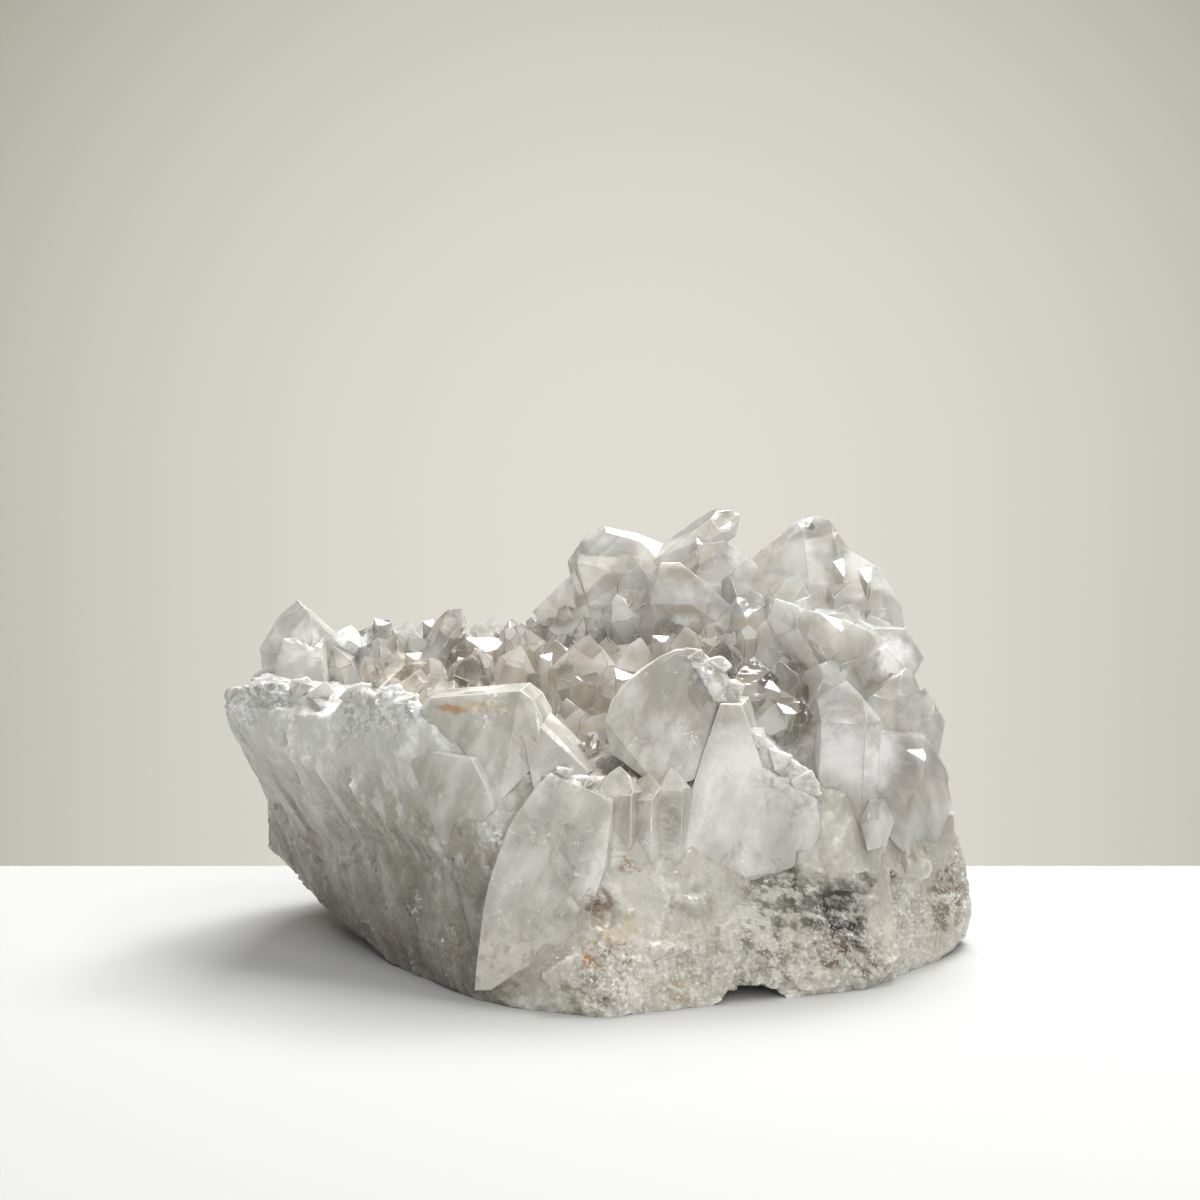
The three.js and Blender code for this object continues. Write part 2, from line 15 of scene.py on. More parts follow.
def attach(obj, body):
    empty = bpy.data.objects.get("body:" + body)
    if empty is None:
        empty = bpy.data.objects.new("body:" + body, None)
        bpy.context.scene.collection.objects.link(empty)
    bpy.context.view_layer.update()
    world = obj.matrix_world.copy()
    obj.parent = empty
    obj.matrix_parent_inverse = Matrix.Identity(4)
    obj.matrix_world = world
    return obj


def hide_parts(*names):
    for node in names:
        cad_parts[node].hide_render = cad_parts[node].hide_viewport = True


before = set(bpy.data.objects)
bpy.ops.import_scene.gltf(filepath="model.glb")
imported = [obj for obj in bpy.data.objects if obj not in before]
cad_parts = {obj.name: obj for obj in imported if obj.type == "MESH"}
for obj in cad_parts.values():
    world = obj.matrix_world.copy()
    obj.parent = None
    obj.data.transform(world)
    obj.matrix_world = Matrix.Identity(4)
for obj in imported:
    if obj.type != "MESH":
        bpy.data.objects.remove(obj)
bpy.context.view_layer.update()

# ---------------------------------------------------------------- driving dimensions

MM = 0.001
SHIFT = Vector((-0.148, -0.623, 0.0))  # from the layout frame to the row frame, in mm
RHOMB_ANGLE = math.radians(51.8)  # between a rhomb face's normal and the long axis
PLAIN_WIDTH = 6.0  # width below which a crystal's point is left plain
SIDES_VARY = 0.13  # share by which the six sides of a crystal lie further out or in
POINT_VARIES = 0.05  # and the faces of its point
SMALL_FACE = 0.1  # how much further out every second face of the point lies, as a share of the width
ROCK_VOXEL = 1.05  # grid of the broken block's surface
CRUST_VOXEL = 0.9  # and of the crust under the small crystals
CRUST_FOCUS = Vector((-6, 2, 92))  # where the small crystals of the crust point
CRUST_REACH = (41, 17)  # half length and half width of the crust
CRUST_THICK = 0.08  # its thickness, as a share of the distance to that place
SOLE_EASE = 1.5  # height over the sole at which the relief is full
STILL = (0.8, 1.5)  # how far outside the planes that stay still the relief starts, and over what way it grows
SHARP = math.radians(24)  # an edge that turns more than this stays crisp
STREAK_TURN = (0, -25, 0)  # how the streaks of the block lean
CHUNK_SPREAD = Vector((1.25, 0.7, 0.95))  # how a lump is stretched along each axis
GLINT_OUTLINE = ((0.6, 0.3), (-0.6, 0.1), (-0.1, -0.5), (0.25, -0.3))  # of a chip: shares of width and depth
GLINT_ROOT = Vector((0, 3, -13))  # from a chip's face to its foot
CHAMFER = 0.11  # on the edges of the crystals
SLAB_CHAMFER = 0.22  # and of the slabs
CRISP = math.radians(28)  # an edge that turns less than this gets no chamfer
PARALLEL = 1e-6  # three planes have a corner where the box of their normals holds more than this
SLACK = 1e-5  # a corner this little outside a plane still counts
WELD = (0.02, 0.005)  # corners closer than this are one: of a plain solid, and of a chamfered one
FLAT = math.radians(1)  # faces that turn less than this are one
LEAST_EDGE = 1e-4  # edges of the pocket's crystals shorter than this are dissolved
CRUMB = 1e-9  # the least volume of a shell, in cubic metres
SAME_FACE = 0.9995  # two normals whose product is above this belong to one face

CAMERA_PLACE = Vector((0, -768, 219.5))
CAMERA_PITCH = math.radians(10)
CAMERA_LENS = 100
TABLE_EDGE = 77.0  # how far behind the origin the table ends
BACKDROP_Y = 900
BACKDROP_MIDDLE = (20, BACKDROP_Y, -20)  # where its painted glow is brightest
BACKDROP_REACH = (418, 1, 405)  # and how far from there, sideways and up, its painted glow is dimmest
ROOM_BRIGHT_SIDE = (0.35, -0.45, 0.8)
ROOM_SPAN = (-0.8, 0.9)  # from its dim to its bright side
ROOM_LIGHT = (0.02, 0.3)  # on its dim and on its bright side
SOFTBOX_AIM = (0, 0, 40)
SOFTBOXES = [  # name, place, size and power in watts
    ("key", (150, 350, 760), 540, 9.9),
    ("fill", (260, -900, 640), 1100, 7.0),
    ("glint_left", (-420, -420, 760), 120, 0.9),
    ("glint_back", (260, 420, 700), 150, 1.5),
    ("glint_right", (420, -120, 820), 150, 1.0),
]

# ---------------------------------------------------------------- solids from points and planes


def wobble(seed, index):
    """A repeatable number from -1 to 1."""
    s = math.sin(seed * 127.1 + index * 311.7) * 43758.5453
    return 2 * (s - math.floor(s)) - 1


def corners_of(planes):
    """The corners of the convex body inside all planes, each (unit normal, distance)."""
    normals = np.array([n for n, _ in planes])
    reach = np.array([d for _, d in planes])
    corners = []
    for three in itertools.combinations(range(len(planes)), 3):
        three = list(three)
        if abs(np.linalg.det(normals[three])) > PARALLEL:
            point = np.linalg.solve(normals[three], reach[three])
            if np.all(normals @ point <= reach + SLACK):
                corners.append(point)
    return np.array(corners)


def crystal(tip, axis, width, length, turn, seed, flat=1):
    """The corners of a quartz crystal: a six-sided prism, its point of three large and three small faces."""
    up = np.array(axis, float)
    up /= np.linalg.norm(up)
    side = np.cross((0.0, 1.0, 0.0), up)
    side /= np.linalg.norm(side)
    front = np.cross(up, side)
    planes = [(-up, length)]
    for k in range(6):
        angle = math.radians(turn + 60 * k)
        out = side * math.cos(angle) + front * math.sin(angle)
        narrow = flat if k % 3 == 0 else 1
        planes.append((out, width / 2 * narrow * (1 + SIDES_VARY * wobble(seed, k))))
        if k % 2 and width < PLAIN_WIDTH:
            continue
        slope = out * math.sin(RHOMB_ANGLE) + up * math.cos(RHOMB_ANGLE)
        smaller = (k % 2) * SMALL_FACE + POINT_VARIES * (1 + wobble(seed, k + 6))
        planes.append((slope, width * smaller))
    corners = corners_of(planes)
    top = (corners @ up).max()
    return corners - up * top + np.array(tip, float)


def plate(outline, back):
    """The corners of a plate: an outline, and the same again moved back into the rock."""
    return list(outline) + [tuple(c + b for c, b in zip(p, back)) for p in outline]


def chunk(at, size):
    """An angular lump, flatter towards the block."""
    seed = at[0] * 3 + at[2]
    around = [Vector([wobble(seed, 3 * k + i) for i in range(3)]).normalized() for k in range(9)]
    around = [Vector([a * b for a, b in zip(way, CHUNK_SPREAD)]) for way in around]
    return [tuple(Vector(at) + way * (size * 0.5)) for way in around]


def glint(at, wide, deep, turn, normal):
    """A chip of quartz whose upper face mirrors the light."""
    across = Vector((math.cos(math.radians(turn)), math.sin(math.radians(turn)), 0))
    across = (across - normal * across.dot(normal)).normalized()
    back = normal.cross(across)
    top = [Vector(at) + across * (wide * u) + back * (deep * v) for u, v in GLINT_OUTLINE]
    wide, deep = 0.8 * wide, 0.6 * deep
    foot = [Vector(at) + across * (wide * u) + back * (deep * v) + GLINT_ROOT for u, v in GLINT_OUTLINE]
    return [tuple(p) for p in top + foot]


def toward(points, focus, scale):
    """The points, drawn towards a place or away from it."""
    return [tuple(focus + (Vector(p) - focus) * scale) for p in points]


def hull(bm, points):
    """Makes bm the convex body around the points."""
    bm.clear()
    for p in points:
        bm.verts.new(p)
    found = bmesh.ops.convex_hull(bm, input=bm.verts)
    loose = {v for v in found["geom_interior"] + found["geom_unused"] if isinstance(v, bmesh.types.BMVert)}
    bmesh.ops.delete(bm, geom=list(loose), context="VERTS")


def solid(points, chamfer=0.0):
    """A new object: the convex body around the points, its edges chamfered. The chamfers use material 1."""
    bm = bmesh.new()
    hull(bm, [(Vector(p) + SHIFT) * MM for p in points])
    bmesh.ops.remove_doubles(bm, verts=bm.verts, dist=WELD[0] * MM)
    bmesh.ops.dissolve_limit(bm, angle_limit=FLAT, verts=bm.verts, edges=bm.edges)
    mesh = bpy.data.meshes.new("solid")
    if chamfer:
        bm.normal_update()
        faces = [f.normal.copy() for f in bm.faces]
        crisp = [e for e in bm.edges if e.calc_face_angle() > CRISP]
        bmesh.ops.bevel(bm, geom=crisp, offset=chamfer * MM, segments=1, affect="EDGES", clamp_overlap=True)
        hull(bm, [v.co.copy() for v in bm.verts])
        bmesh.ops.remove_doubles(bm, verts=bm.verts, dist=WELD[1] * MM)
        bm.normal_update()
        for f in bm.faces:
            f.material_index = int(max(f.normal.dot(face) for face in faces) < SAME_FACE)
        mesh.materials.append(None)  # places for the materials of the faces and of the chamfers
        mesh.materials.append(None)
    bm.to_mesh(mesh)
    bm.free()
    obj = bpy.data.objects.new("solid", mesh)
    bpy.context.scene.collection.objects.link(obj)
    return obj


def face_planes(points):
    """The planes of the convex body around the points, each (unit normal, distance), in the row frame."""
    obj = solid(points)
    planes = [(np.array(f.normal), float(f.normal.dot(f.center)) / MM) for f in obj.data.polygons]
    bpy.data.objects.remove(obj)
    return planes


def settled(obj):
    """Makes the object's modifiers part of its mesh."""
    graph = bpy.context.evaluated_depsgraph_get()
    mesh = bpy.data.meshes.new_from_object(obj.evaluated_get(graph))
    obj.modifiers.clear()
    obj.data = mesh
    return obj


def without_crumbs(obj, least):
    """Drops the bubbles that unions leave, which are closed shells of less than CRUMB.

    Edges shorter than least, in mm, are dissolved.
    """
    bm = bmesh.new()
    bm.from_mesh(obj.data)
    if least:
        bmesh.ops.dissolve_degenerate(bm, dist=least * MM, edges=bm.edges)
    bm.faces.ensure_lookup_table()
    bm.faces.index_update()
    seen = [False] * len(bm.faces)
    crumbs = []
    for first in bm.faces:
        if seen[first.index]:
            continue
        seen[first.index] = True
        shell = [first]
        for face in shell:
            for edge in face.edges:
                for other in edge.link_faces:
                    if not seen[other.index]:
                        seen[other.index] = True
                        shell.append(other)
        if abs(sum(f.calc_area() * f.normal.dot(f.calc_center_median()) for f in shell)) / 3 < CRUMB:
            crumbs += shell
    bmesh.ops.delete(bm, geom=crumbs, context="FACES")
    bm.to_mesh(obj.data)
    bm.free()


def fused(name, bodies, cuts=(), within=(), chamfer=0.0, least=0.0):
    """One object: the bodies joined, less the cuts, and only what is within. Each is a list of points."""
    first, *others = [solid(points, chamfer=chamfer) for points in bodies]
    away = [solid(points) for points in cuts]
    around = [solid(points) for points in within]
    for operation, objects in (("UNION", others), ("DIFFERENCE", away), ("INTERSECT", around)):
        for other in objects:
            step = first.modifiers.new("step", "BOOLEAN")
            step.operation = operation
            step.solver = "MANIFOLD"
            step.object = other
    settled(first)
    if chamfer:
        without_crumbs(first, least)
    for other in others + away + around:
        bpy.data.objects.remove(other)
    first.name = name
    first.data.name = name
    return first


def remeshed(obj, voxel):
    """The object's surface again on an even grid."""
    step = obj.modifiers.new("grid", "REMESH")
    step.mode = "VOXEL"
    step.voxel_size = voxel * MM
    step.adaptivity = 0
    return settled(obj)


def moved(obj, push, still=()):
    """Moves every vertex along its normal by push(place in mm, normal) in mm.

    The sole stays flat, and so does the surface inside the planes of still.
    """
    mesh = obj.data
    count = len(mesh.vertices)
    places = np.empty(count * 3)
    mesh.vertices.foreach_get("co", places)
    places = places.reshape(-1, 3) / MM
    normals = np.empty(count * 3)
    mesh.vertex_normals.foreach_get("vector", normals)
    normals = normals.reshape(-1, 3)
    amount = np.array([push(Vector(p), Vector(n)) for p, n in zip(places, normals)])
    amount *= np.clip(places[:, 2] / SOLE_EASE, 0, 1)
    if still:
        outside = places @ np.array([n for n, _ in still]).T - np.array([d for _, d in still])
        amount *= np.clip((outside.max(axis=1) - STILL[0]) / STILL[1], 0, 1)
    places += normals * amount[:, None]
    places[:, 2] = np.maximum(places[:, 2], 0)
    mesh.vertices.foreach_set("co", (places * MM).ravel())
    mesh.shade_smooth()
    mesh.set_sharp_from_angle(angle=SHARP)
    mesh.update()
    return obj


# ---------------------------------------------------------------- the massive block

LEFT_FOOT = [
    (-28, -43, 0), (-46, -19, 0), (-60, 20, 0), (-52, 44, 0), (8, 46, 0), (-62, 0, 7), (-72, 8, 14.5),
    (-80, 14, 21), (-80.5, 11, 32), (-76, 42, 30), (-62, 50, 14), (-26, -41.5, 20), (-24.5, -40, 28),
    (-14, -34, 44), (-64, -6, 44), (-70, 46, 42), (-10, 50, 40),
]
LEFT_WALL = [
    (-89.5, 0, 58.5), (-86.5, 4, 50), (-80.5, 10.5, 34), (-78, 40, 36), (-82, 30, 62), (-60, 46, 64),
    (-63, -12.5, 59), (-40, -23, 60), (-14, -33, 49), (-25, -40, 26), (-55, -7, 14), (-30, -20, 30),
    (-30, 40, 50),
]
BACK_RIM = [
    (-68, 26, 67), (-60, 48, 62), (-8, 48, 60), (-4, 31, 67), (-32, 29, 68), (-70, 40, 40), (-6, 50, 30),
    (-50, 20, 50), (-10, 24, 50),
]
FRONT_FOOT = [
    (-28, -43, 0), (-27, -43.5, 14), (-24.8, -41, 27), (-20.3, -37, 40), (-12.4, -33.5, 50), (4, -32, 49),
    (-18, -50, 0), (0, -57, 0), (22, -44, 0), (61, -35, 0), (80, -11, 0), (80, 20, 0), (56, 46, 0),
    (4, 50, 0), (2, -52, 14), (24, -43, 18), (50, -35, 18), (74, -15, 20), (86.5, 3, 18), (89, 2, 9),
    (87.5, 2, 2), (80, 36, 12), (62, 50, 22), (46, -22, 42), (60, 40, 45), (-20, 46, 50),
]
RIGHT_BODY = [
    (40, -31, 26), (60, -33, 10), (78, -13, 12), (88, 2, 12), (84, 6, 30), (80, 7, 48), (77, 7, 61),
    (72, 8, 70), (60, 44, 60), (74, 36, 40), (72, 36, 20), (30, 40, 60), (64, -14, 46), (58, -6, 62),
    (40, -18, 50), (20, 0, 50),
]
BACK_RIDGE = [
    (-10, 30, 56), (4, 26, 68), (34, 16, 72), (62, 6, 70), (74, 12, 68), (68, 26, 80), (54, 34, 88),
    (26, 40, 88), (2, 44, 84), (-14, 44, 66), (8, 54, 40), (58, 48, 44), (76, 24, 50), (44, -8, 50),
]
BACK_BOSS = [
    (-34, 46, 4), (-24, 54, 16), (-2, 57, 30), (8, 54, 58), (-16, 50, 60), (-38, 48, 38), (6, 50, 4),
    (0, 36, 30), (-40, 36, 20),
]
RIGHT_BOSS = [
    (22, 50, 3), (40, 55, 14), (66, 44, 24), (64, 42, 66), (40, 48, 74), (20, 51, 50), (50, 30, 30),
    (70, 34, 8),
]
BACK_FILL = [
    (4, 50, 5), (26, 49, 5), (5, 53, 52), (24, 51.5, 46), (14, 54.5, 28), (10, 55, 40), (14, 40, 10),
    (14, 42, 50),
]
HOLLOW = [
    (-50, -6, 61), (-36, -15, 58), (-14, -20, 49), (4, -17, 47), (24, -8, 50), (38, -8, 54), (42, 4, 64),
    (18, 20, 66), (-8, 26, 60), (-38, 26, 60), (-54, 14, 63), (-20, 4, 42), (2, 2, 41), (-12, -6, 41),
    (-60, 0, 104), (-30, -34, 104), (10, -34, 104), (46, -14, 104), (48, 8, 104), (16, 22, 104),
    (-40, 30, 104),
]
ARCH = [
    (24, -60, -1), (31, -60, 4.5), (37, -60, 5), (46, -60, -1), (27, -22, -1), (31, -24, 2), (36, -24, 2),
    (41, -22, -1),
]

# ---------------------------------------------------------------- slabs and crystals

# The rough corner and the curved crest of the left rim, the broken facets under it, and the rough left lip.
RIM = [
    [(-62.5, -12, 60), (-58.9, -13, 65.5), (-46, -15, 66.5), (-40, -22, 63.5), (-44, -25, 52), (-60, -13, 50),
     (-52, -4, 60)],
    [(-89.5, 1, 59), (-84, -1, 64), (-76, -2, 65), (-66, -4, 63), (-62, -8, 60), (-80, 12, 64), (-66, 10, 62),
     (-84, 6, 56)],
    # The rough right edge of the middle slab, and the notch of the white one.
    [(17.5, -20.2, 76.4), (21, -19.4, 76.6), (28, -18.4, 72.6), (32.4, -19, 64), (29, -22, 61),
     (27, -22.4, 66), (22, -20.8, 72), (24, -12, 73), (30, -12, 62)],
    [(34, -24.4, 59), (37.5, -24.6, 55.5), (43, -25.4, 51), (50.5, -26.4, 47), (51, -28.2, 43),
     (42, -28.2, 43), (36.5, -26.6, 48), (38, -18, 56), (50, -18, 46)],
    # Broken quartz in front of the prism's foot.
    [(43, -29, 41), (50, -25, 45), (58, -23, 43), (66, -19, 40), (66, -22, 30), (58, -30, 22), (44, -36, 22),
     (48, -16, 44), (62, -14, 42), (60, -16, 26)],
    [(70, -16, 30), (80, -6, 34), (84, -1, 34), (83, -5, 24), (71, -19, 26), (84, -2, 14), (74, -15, 14),
     (76, 0, 14), (72, -4, 34)],
    # The broken foot of the slabs, above the floor of the notch and along the foot of the block.
    [(-7, -28, 50), (2, -27.5, 54), (8, -27, 56.5), (14, -26, 57), (-5, -18, 52), (12, -16, 55), (0, -26, 40),
     (12, -26, 40)],
    # The pale column at the lower right.
    [(61.5, -27, 24), (66.5, -23.5, 26), (62, -34, 2), (69, -28.5, 2), (62, -23, 30), (60, -15, 20),
     (70, -15, 10)],
]

BITS = [  # crisp broken bits: along the left lip, on the rough corner, and on the torn edges of the slabs
    ((-84, 2, 60.5), 8), ((-77.5, -0.8, 63.3), 9), ((-70, -3, 63), 8), ((-80.5, 1, 62.5), 5),
    ((-65.5, -4.8, 63.5), 6), ((-56.5, -11.6, 63.5), 9), ((-50.5, -14.2, 64.2), 8), ((-45, -17.6, 63), 8),
    ((-53.5, -14, 60), 6), ((-47.5, -17.5, 57.5), 7), ((21.5, -19.2, 74.6), 5.5), ((26.5, -18.6, 71.8), 6.5),
    ((29.8, -19.2, 66.8), 6), ((35.6, -24.2, 56.6), 7), ((40.5, -25.4, 51.4), 8), ((46, -26.4, 47), 7),
    ((41, -27.4, 46.5), 5), ((-8.5, -33.6, 50.5), 4.5), ((-2.5, -35, 48.6), 4.5),
]

SLABS = [
    # The curved crest of the left rim, the broken facet under it, and the one that falls into the notch.
    plate([(-41, -21.5, 63), (-38.7, -22.5, 65.5), (-34, -24.3, 64.2), (-29.5, -26, 64), (-23, -27, 66),
           (-18, -28, 68.3), (-15, -28, 66), (-13, -28, 62), (-13, -31, 53), (-23, -33, 43),
           (-38, -24.5, 48)], (2, 9, 0)),
    plate([(-50.5, -19.2, 45), (-46, -22.5, 49.5), (-38, -27.6, 54), (-29, -30.7, 53), (-25.6, -33.4, 47),
           (-24, -34.7, 42), (-28, -34.6, 37), (-35.5, -33, 33), (-42, -28, 35), (-46.8, -23.6, 38)],
          (6, 9, 0)),
    plate([(-19, -28, 65), (-14.5, -28, 62), (-9, -29, 57), (-2.5, -31, 50), (-6, -32.5, 45), (-15, -34, 46)],
          (3, 7, 0)),
    # The smooth front slab, its sharp left edge curving down from the notch to the sole.
    plate([(-11.5, -35.2, 50.5), (-14.2, -36, 48), (-16.5, -37, 45), (-18.8, -38.1, 42), (-20.6, -39, 39),
           (-23, -40.8, 33), (-25, -42.9, 27), (-26.2, -44.2, 21), (-27, -45, 14), (-27.8, -45.4, 8),
           (-28.2, -45.6, 3), (-24.5, -47, 3.5), (-20, -48.2, 8), (-14, -49, 10.5), (-8, -49.4, 15.5),
           (-2.5, -48.4, 20.5), (-1, -46.6, 25), (1, -44.2, 31), (3, -37.4, 45)], (4, 9, 0)),
    # The tall milky slab in the middle, rounded above, and the white one right of it with its rough notch.
    [(2.3, -29, 54), (1, -27.4, 61), (2.4, -25.6, 65), (5, -23.8, 68.6), (9, -22, 72), (13.7, -20.6, 74.8),
     (17, -19.5, 76), (20.6, -18.8, 76.2), (24, -18.2, 74.8), (27.5, -18, 72), (30.4, -18.4, 68.4),
     (32.1, -19, 64), (31, -26, 50), (13.6, -32.6, 46), (20, -23.6, 66), (5, -12, 60), (22, -8, 72),
     (31, -8, 60), (18, -16, 44)],
    plate([(27.4, -23.4, 64.3), (32.4, -22.9, 64), (33.4, -24, 60), (35, -25.2, 56), (37, -26.5, 51),
           (40, -32.8, 27), (30, -36, 24), (16, -39.6, 25), (18.2, -34.6, 38.8), (22.8, -29, 51.9)],
          (2, 9, 0)),
    plate([(36, -26.6, 51), (43.4, -28.2, 46), (49.4, -28, 43), (50.5, -28.6, 36), (48, -30.4, 30),
           (44, -31.8, 28), (38, -33.2, 26)], (2, 9, 0)),
]

BLOCKY = [
    # A blocky crystal against the wide one at the left.
    [(-77.5, 9, 66.5), (-66.5, 10, 68.5), (-64, 7, 58), (-76, 6, 57), (-76, 16, 72), (-66, 17, 73),
     (-64, 20, 60)],
    # A leaf-shaped one and a broken block at the right, below the prisms.
    [(59.5, -26.5, 37), (61.5, -26.5, 42.5), (65, -24, 42), (68, -20.5, 36), (65.5, -25, 31), (61, -29, 31),
     (60, -14, 38), (62, -14, 30)],
    [(63, -15.5, 56), (75.5, -11, 53.5), (80.5, -5, 46), (83, -3, 36), (79, -9, 26), (70, -18, 28),
     (65, -19, 34), (63, -17.8, 46), (63, -6, 57), (77, 0, 53), (80, 2, 30), (63, -4, 30)],
    # The rounded white crystal on the right.
    [(59, -1, 73.8), (64, 1, 77.2), (72, 4, 76.6), (76.4, 4, 69.5), (73.5, -1, 65.5), (61, -4, 69),
     (67, -2, 73), (64, 14, 76), (74, 14, 72), (64, 8, 62)],
    # The back ridge: its sloping left foot, a blocky crystal, the arch-shaped one in front of it, and the
    # mass under the leaning one.
    [(-6, 31, 86), (-11, 31, 80), (-16.5, 32, 75.5), (-5, 28, 78), (-14, 28, 73), (-2, 26.5, 75),
     (-4, 38, 84), (-14, 38, 74), (-6, 30, 68)],
    [(-5.6, 31, 88), (-4.6, 34, 92.6), (-2.5, 36, 94.8), (1.2, 36.5, 95.9), (9.5, 37, 94), (16.4, 38, 91),
     (1.5, 34.4, 94.8), (10, 34.3, 92.4), (8, 28.6, 85), (17, 30, 86), (-3, 28, 78), (18, 27, 78),
     (-8, 44, 86), (14, 48, 84), (-2, 46, 70), (18, 46, 70), (-4, 30, 66)],
    [(11.3, 22, 84.7), (14.5, 22.5, 89.3), (19.3, 22.5, 89.3), (25.3, 21, 84.7), (31.7, 18, 79.3),
     (12, 18, 80), (22, 16.5, 80), (28, 16, 76), (10, 20, 70), (30, 16, 68), (16, 34, 87), (24, 34, 84),
     (14, 34, 66), (30, 30, 66)],
    [(14, 40, 88), (24, 38, 94), (33, 36, 91), (37, 32, 87), (30, 44, 84), (30, 28, 84), (20, 30, 70),
     (38, 30, 70)],
    # The great crystal of the ridge with its hexagonal cap, the smooth shoulder right of it, and its foot.
    [(47.7, 29, 98.5), (52, 29, 99.8), (55.5, 28, 98.8), (55, 25, 95), (49, 24, 95.4), (44.8, 28, 95.5),
     (38.7, 26, 90.2), (35, 28, 88), (36, 19, 80), (37, 15, 72), (58.4, 26, 93.7), (62.6, 22, 88),
     (60, 13, 78), (50, 13, 81), (40, 42, 86), (56, 42, 90), (62, 36, 82), (50, 46, 66)],
    [(58.4, 23, 93), (62.6, 20.5, 90.6), (67.3, 18.5, 88.3), (70, 17, 83.5), (72, 16, 79.7), (72.6, 11, 74),
     (63, 13.5, 81), (57, 15, 81), (67.5, 12.5, 79), (66, 36, 83), (56, 40, 87), (73, 26, 70), (60, 8, 72)],
    [(34, 12, 74), (44, 9, 78), (58, 6, 80), (66, 4, 76), (62, -2, 66), (46, -3, 60), (34, 6, 62),
     (30, 14, 66), (60, 20, 80), (40, 20, 80), (50, 20, 68)],
]

CRYSTALS = [  # tip, long axis, width, length, turn about the axis in degrees, seed, and flatness if any
    # Left rim, back: a wide clear one, its smooth neighbour, small ones along the rim, and a sharp blade.
    ((-72.7, 24, 80), (-0.12, 0.05, 1), 20, 40, 5, 2),
    ((-60.5, 27, 73.5), (0.12, 0.05, 1), 13, 26, 25, 5),
    ((-54, 31, 73), (-0.25, 0, 1), 9, 18, 40, 8),
    ((-46.5, 33, 73), (0.2, 0.1, 1), 9, 18, 10, 9),
    ((-40, 31, 72), (-0.2, -0.1, 1), 8, 18, 22, 10),
    ((-26, 23, 72), (0.35, -0.4, 1), 12, 22, 20, 11),
    ((-19, 31, 73), (-0.2, 0, 1), 9, 20, 33, 12),
    ((-11, 32, 74), (0.3, -0.1, 1), 9, 22, 8, 13),
    ((-29, 34, 73), (0.1, 0.1, 1), 8, 20, 28, 15),
    ((-4, 30, 79), (-0.3, -0.2, 1), 10, 24, 28, 16),
    ((-33.5, 22, 78.5), (0.5, 0.05, 0.86), 9, 26, 12, 7, 0.6),
    # The ridge, left to right: small ones round the great ones.
    ((4, 23, 82), (-0.25, -0.35, 1), 11, 26, 30, 24),
    ((9, 28, 88), (-0.1, -0.3, 1), 10, 26, 12, 20),
    ((33.8, 35, 99.7), (0.8, 0, 0.6), 9.5, 26, 9, 27, 0.8),
    ((28, 30, 91), (0.1, -0.2, 1), 11, 26, 28, 28),
    ((36, 25, 90), (0.1, -0.25, 1), 11, 28, 35, 29),
    ((33, 15, 80), (0.2, -0.4, 0.9), 9, 22, 16, 26),
    ((47, 15, 88), (0.25, -0.3, 0.9), 11, 28, 26, 31),
    ((62, 13, 87), (0.35, -0.3, 0.9), 11, 28, 18, 32),
    # Long crystals leaning left over the hollow's right end.
    ((41, 3, 84), (-0.52, -0.1, 0.85), 11, 34, 10, 33, 0.75),
    ((49, 1.5, 81.5), (-0.48, -0.1, 0.87), 12, 34, 32, 34, 0.75),
    ((56.5, 0, 79.5), (-0.38, -0.15, 0.92), 13, 32, 20, 35),
    # The prism at the right and the blocky ones beside it.
    ((57, -12, 67.5), (0.04, 0.1, 1), 17.5, 44, 12, 40, 0.85),
    ((69.5, -4, 67), (0.1, -0.05, 1), 12, 32, 25, 41),
    ((76.5, 1, 63), (0.15, -0.05, 1), 10, 30, 8, 42),
    ((71, -8, 53), (0.2, -0.15, 1), 12, 26, 30, 43),
    ((78, -1, 50), (0.22, -0.1, 1), 10, 24, 16, 44),
]

# Short columns below the middle slab, sunk in the block.
COLUMNS = [
    ((4.4, -31, 51.5), (0.02, 0.17, 1), 10.5, 30, 20, 52),
    ((11, -31.4, 50), (0.01, 0.18, 1), 9.5, 30, 8, 53),
    ((16.5, -30.8, 51), (0.03, 0.17, 1), 9, 30, 30, 54),
    ((-1, -31.8, 46), (-0.02, 0.18, 1), 9, 28, 33, 55),
]

# Clear ones between the white slab and the prism.
CLEAR = [
    ((35.5, -8, 72), (-0.16, -0.12, 1), 12, 32, 14, 36),
    ((42, -8.5, 71.5), (-0.1, -0.15, 1), 11, 32, 22, 37),
    ((46.5, -14.5, 64), (0.12, -0.12, 1), 9.5, 28, 5, 38),
    ((39, -14.5, 63.5), (-0.1, -0.12, 1), 10, 28, 25, 39),
    ((44, -18.5, 57), (0.1, -0.15, 1), 8, 20, 12, 58),
]

# The larger ones of the pocket.
POCKET = [
    ((-2.8, 2, 75.6), (0.05, 0.1, 1), 15, 32, 14, 61),
    ((9, 10, 73.5), (0.2, -0.2, 1), 12, 28, 32, 62),
    ((6, -5, 68), (0.4, -0.3, 1), 9, 26, 8, 63),
    ((-8, -12, 63), (-0.2, -0.3, 1), 9, 24, 22, 64),
    ((1, -13, 60), (0.3, -0.2, 1), 9, 20, 5, 65),
    ((-18.5, 13, 71), (0.3, -0.2, 1), 9, 30, 26, 66),
    ((-11, 14, 72), (-0.3, -0.2, 1), 10, 30, 12, 67),
    ((20, 10, 76), (-0.2, -0.2, 1), 11, 28, 24, 68),
    ((28.5, 3, 74), (-0.1, -0.3, 1), 11, 26, 6, 69),
    ((-38.5, 5, 70), (0.3, 0, 1), 8, 22, 30, 70),
    ((-29, 8, 70), (0.35, -0.1, 1), 9, 28, 17, 71),
]

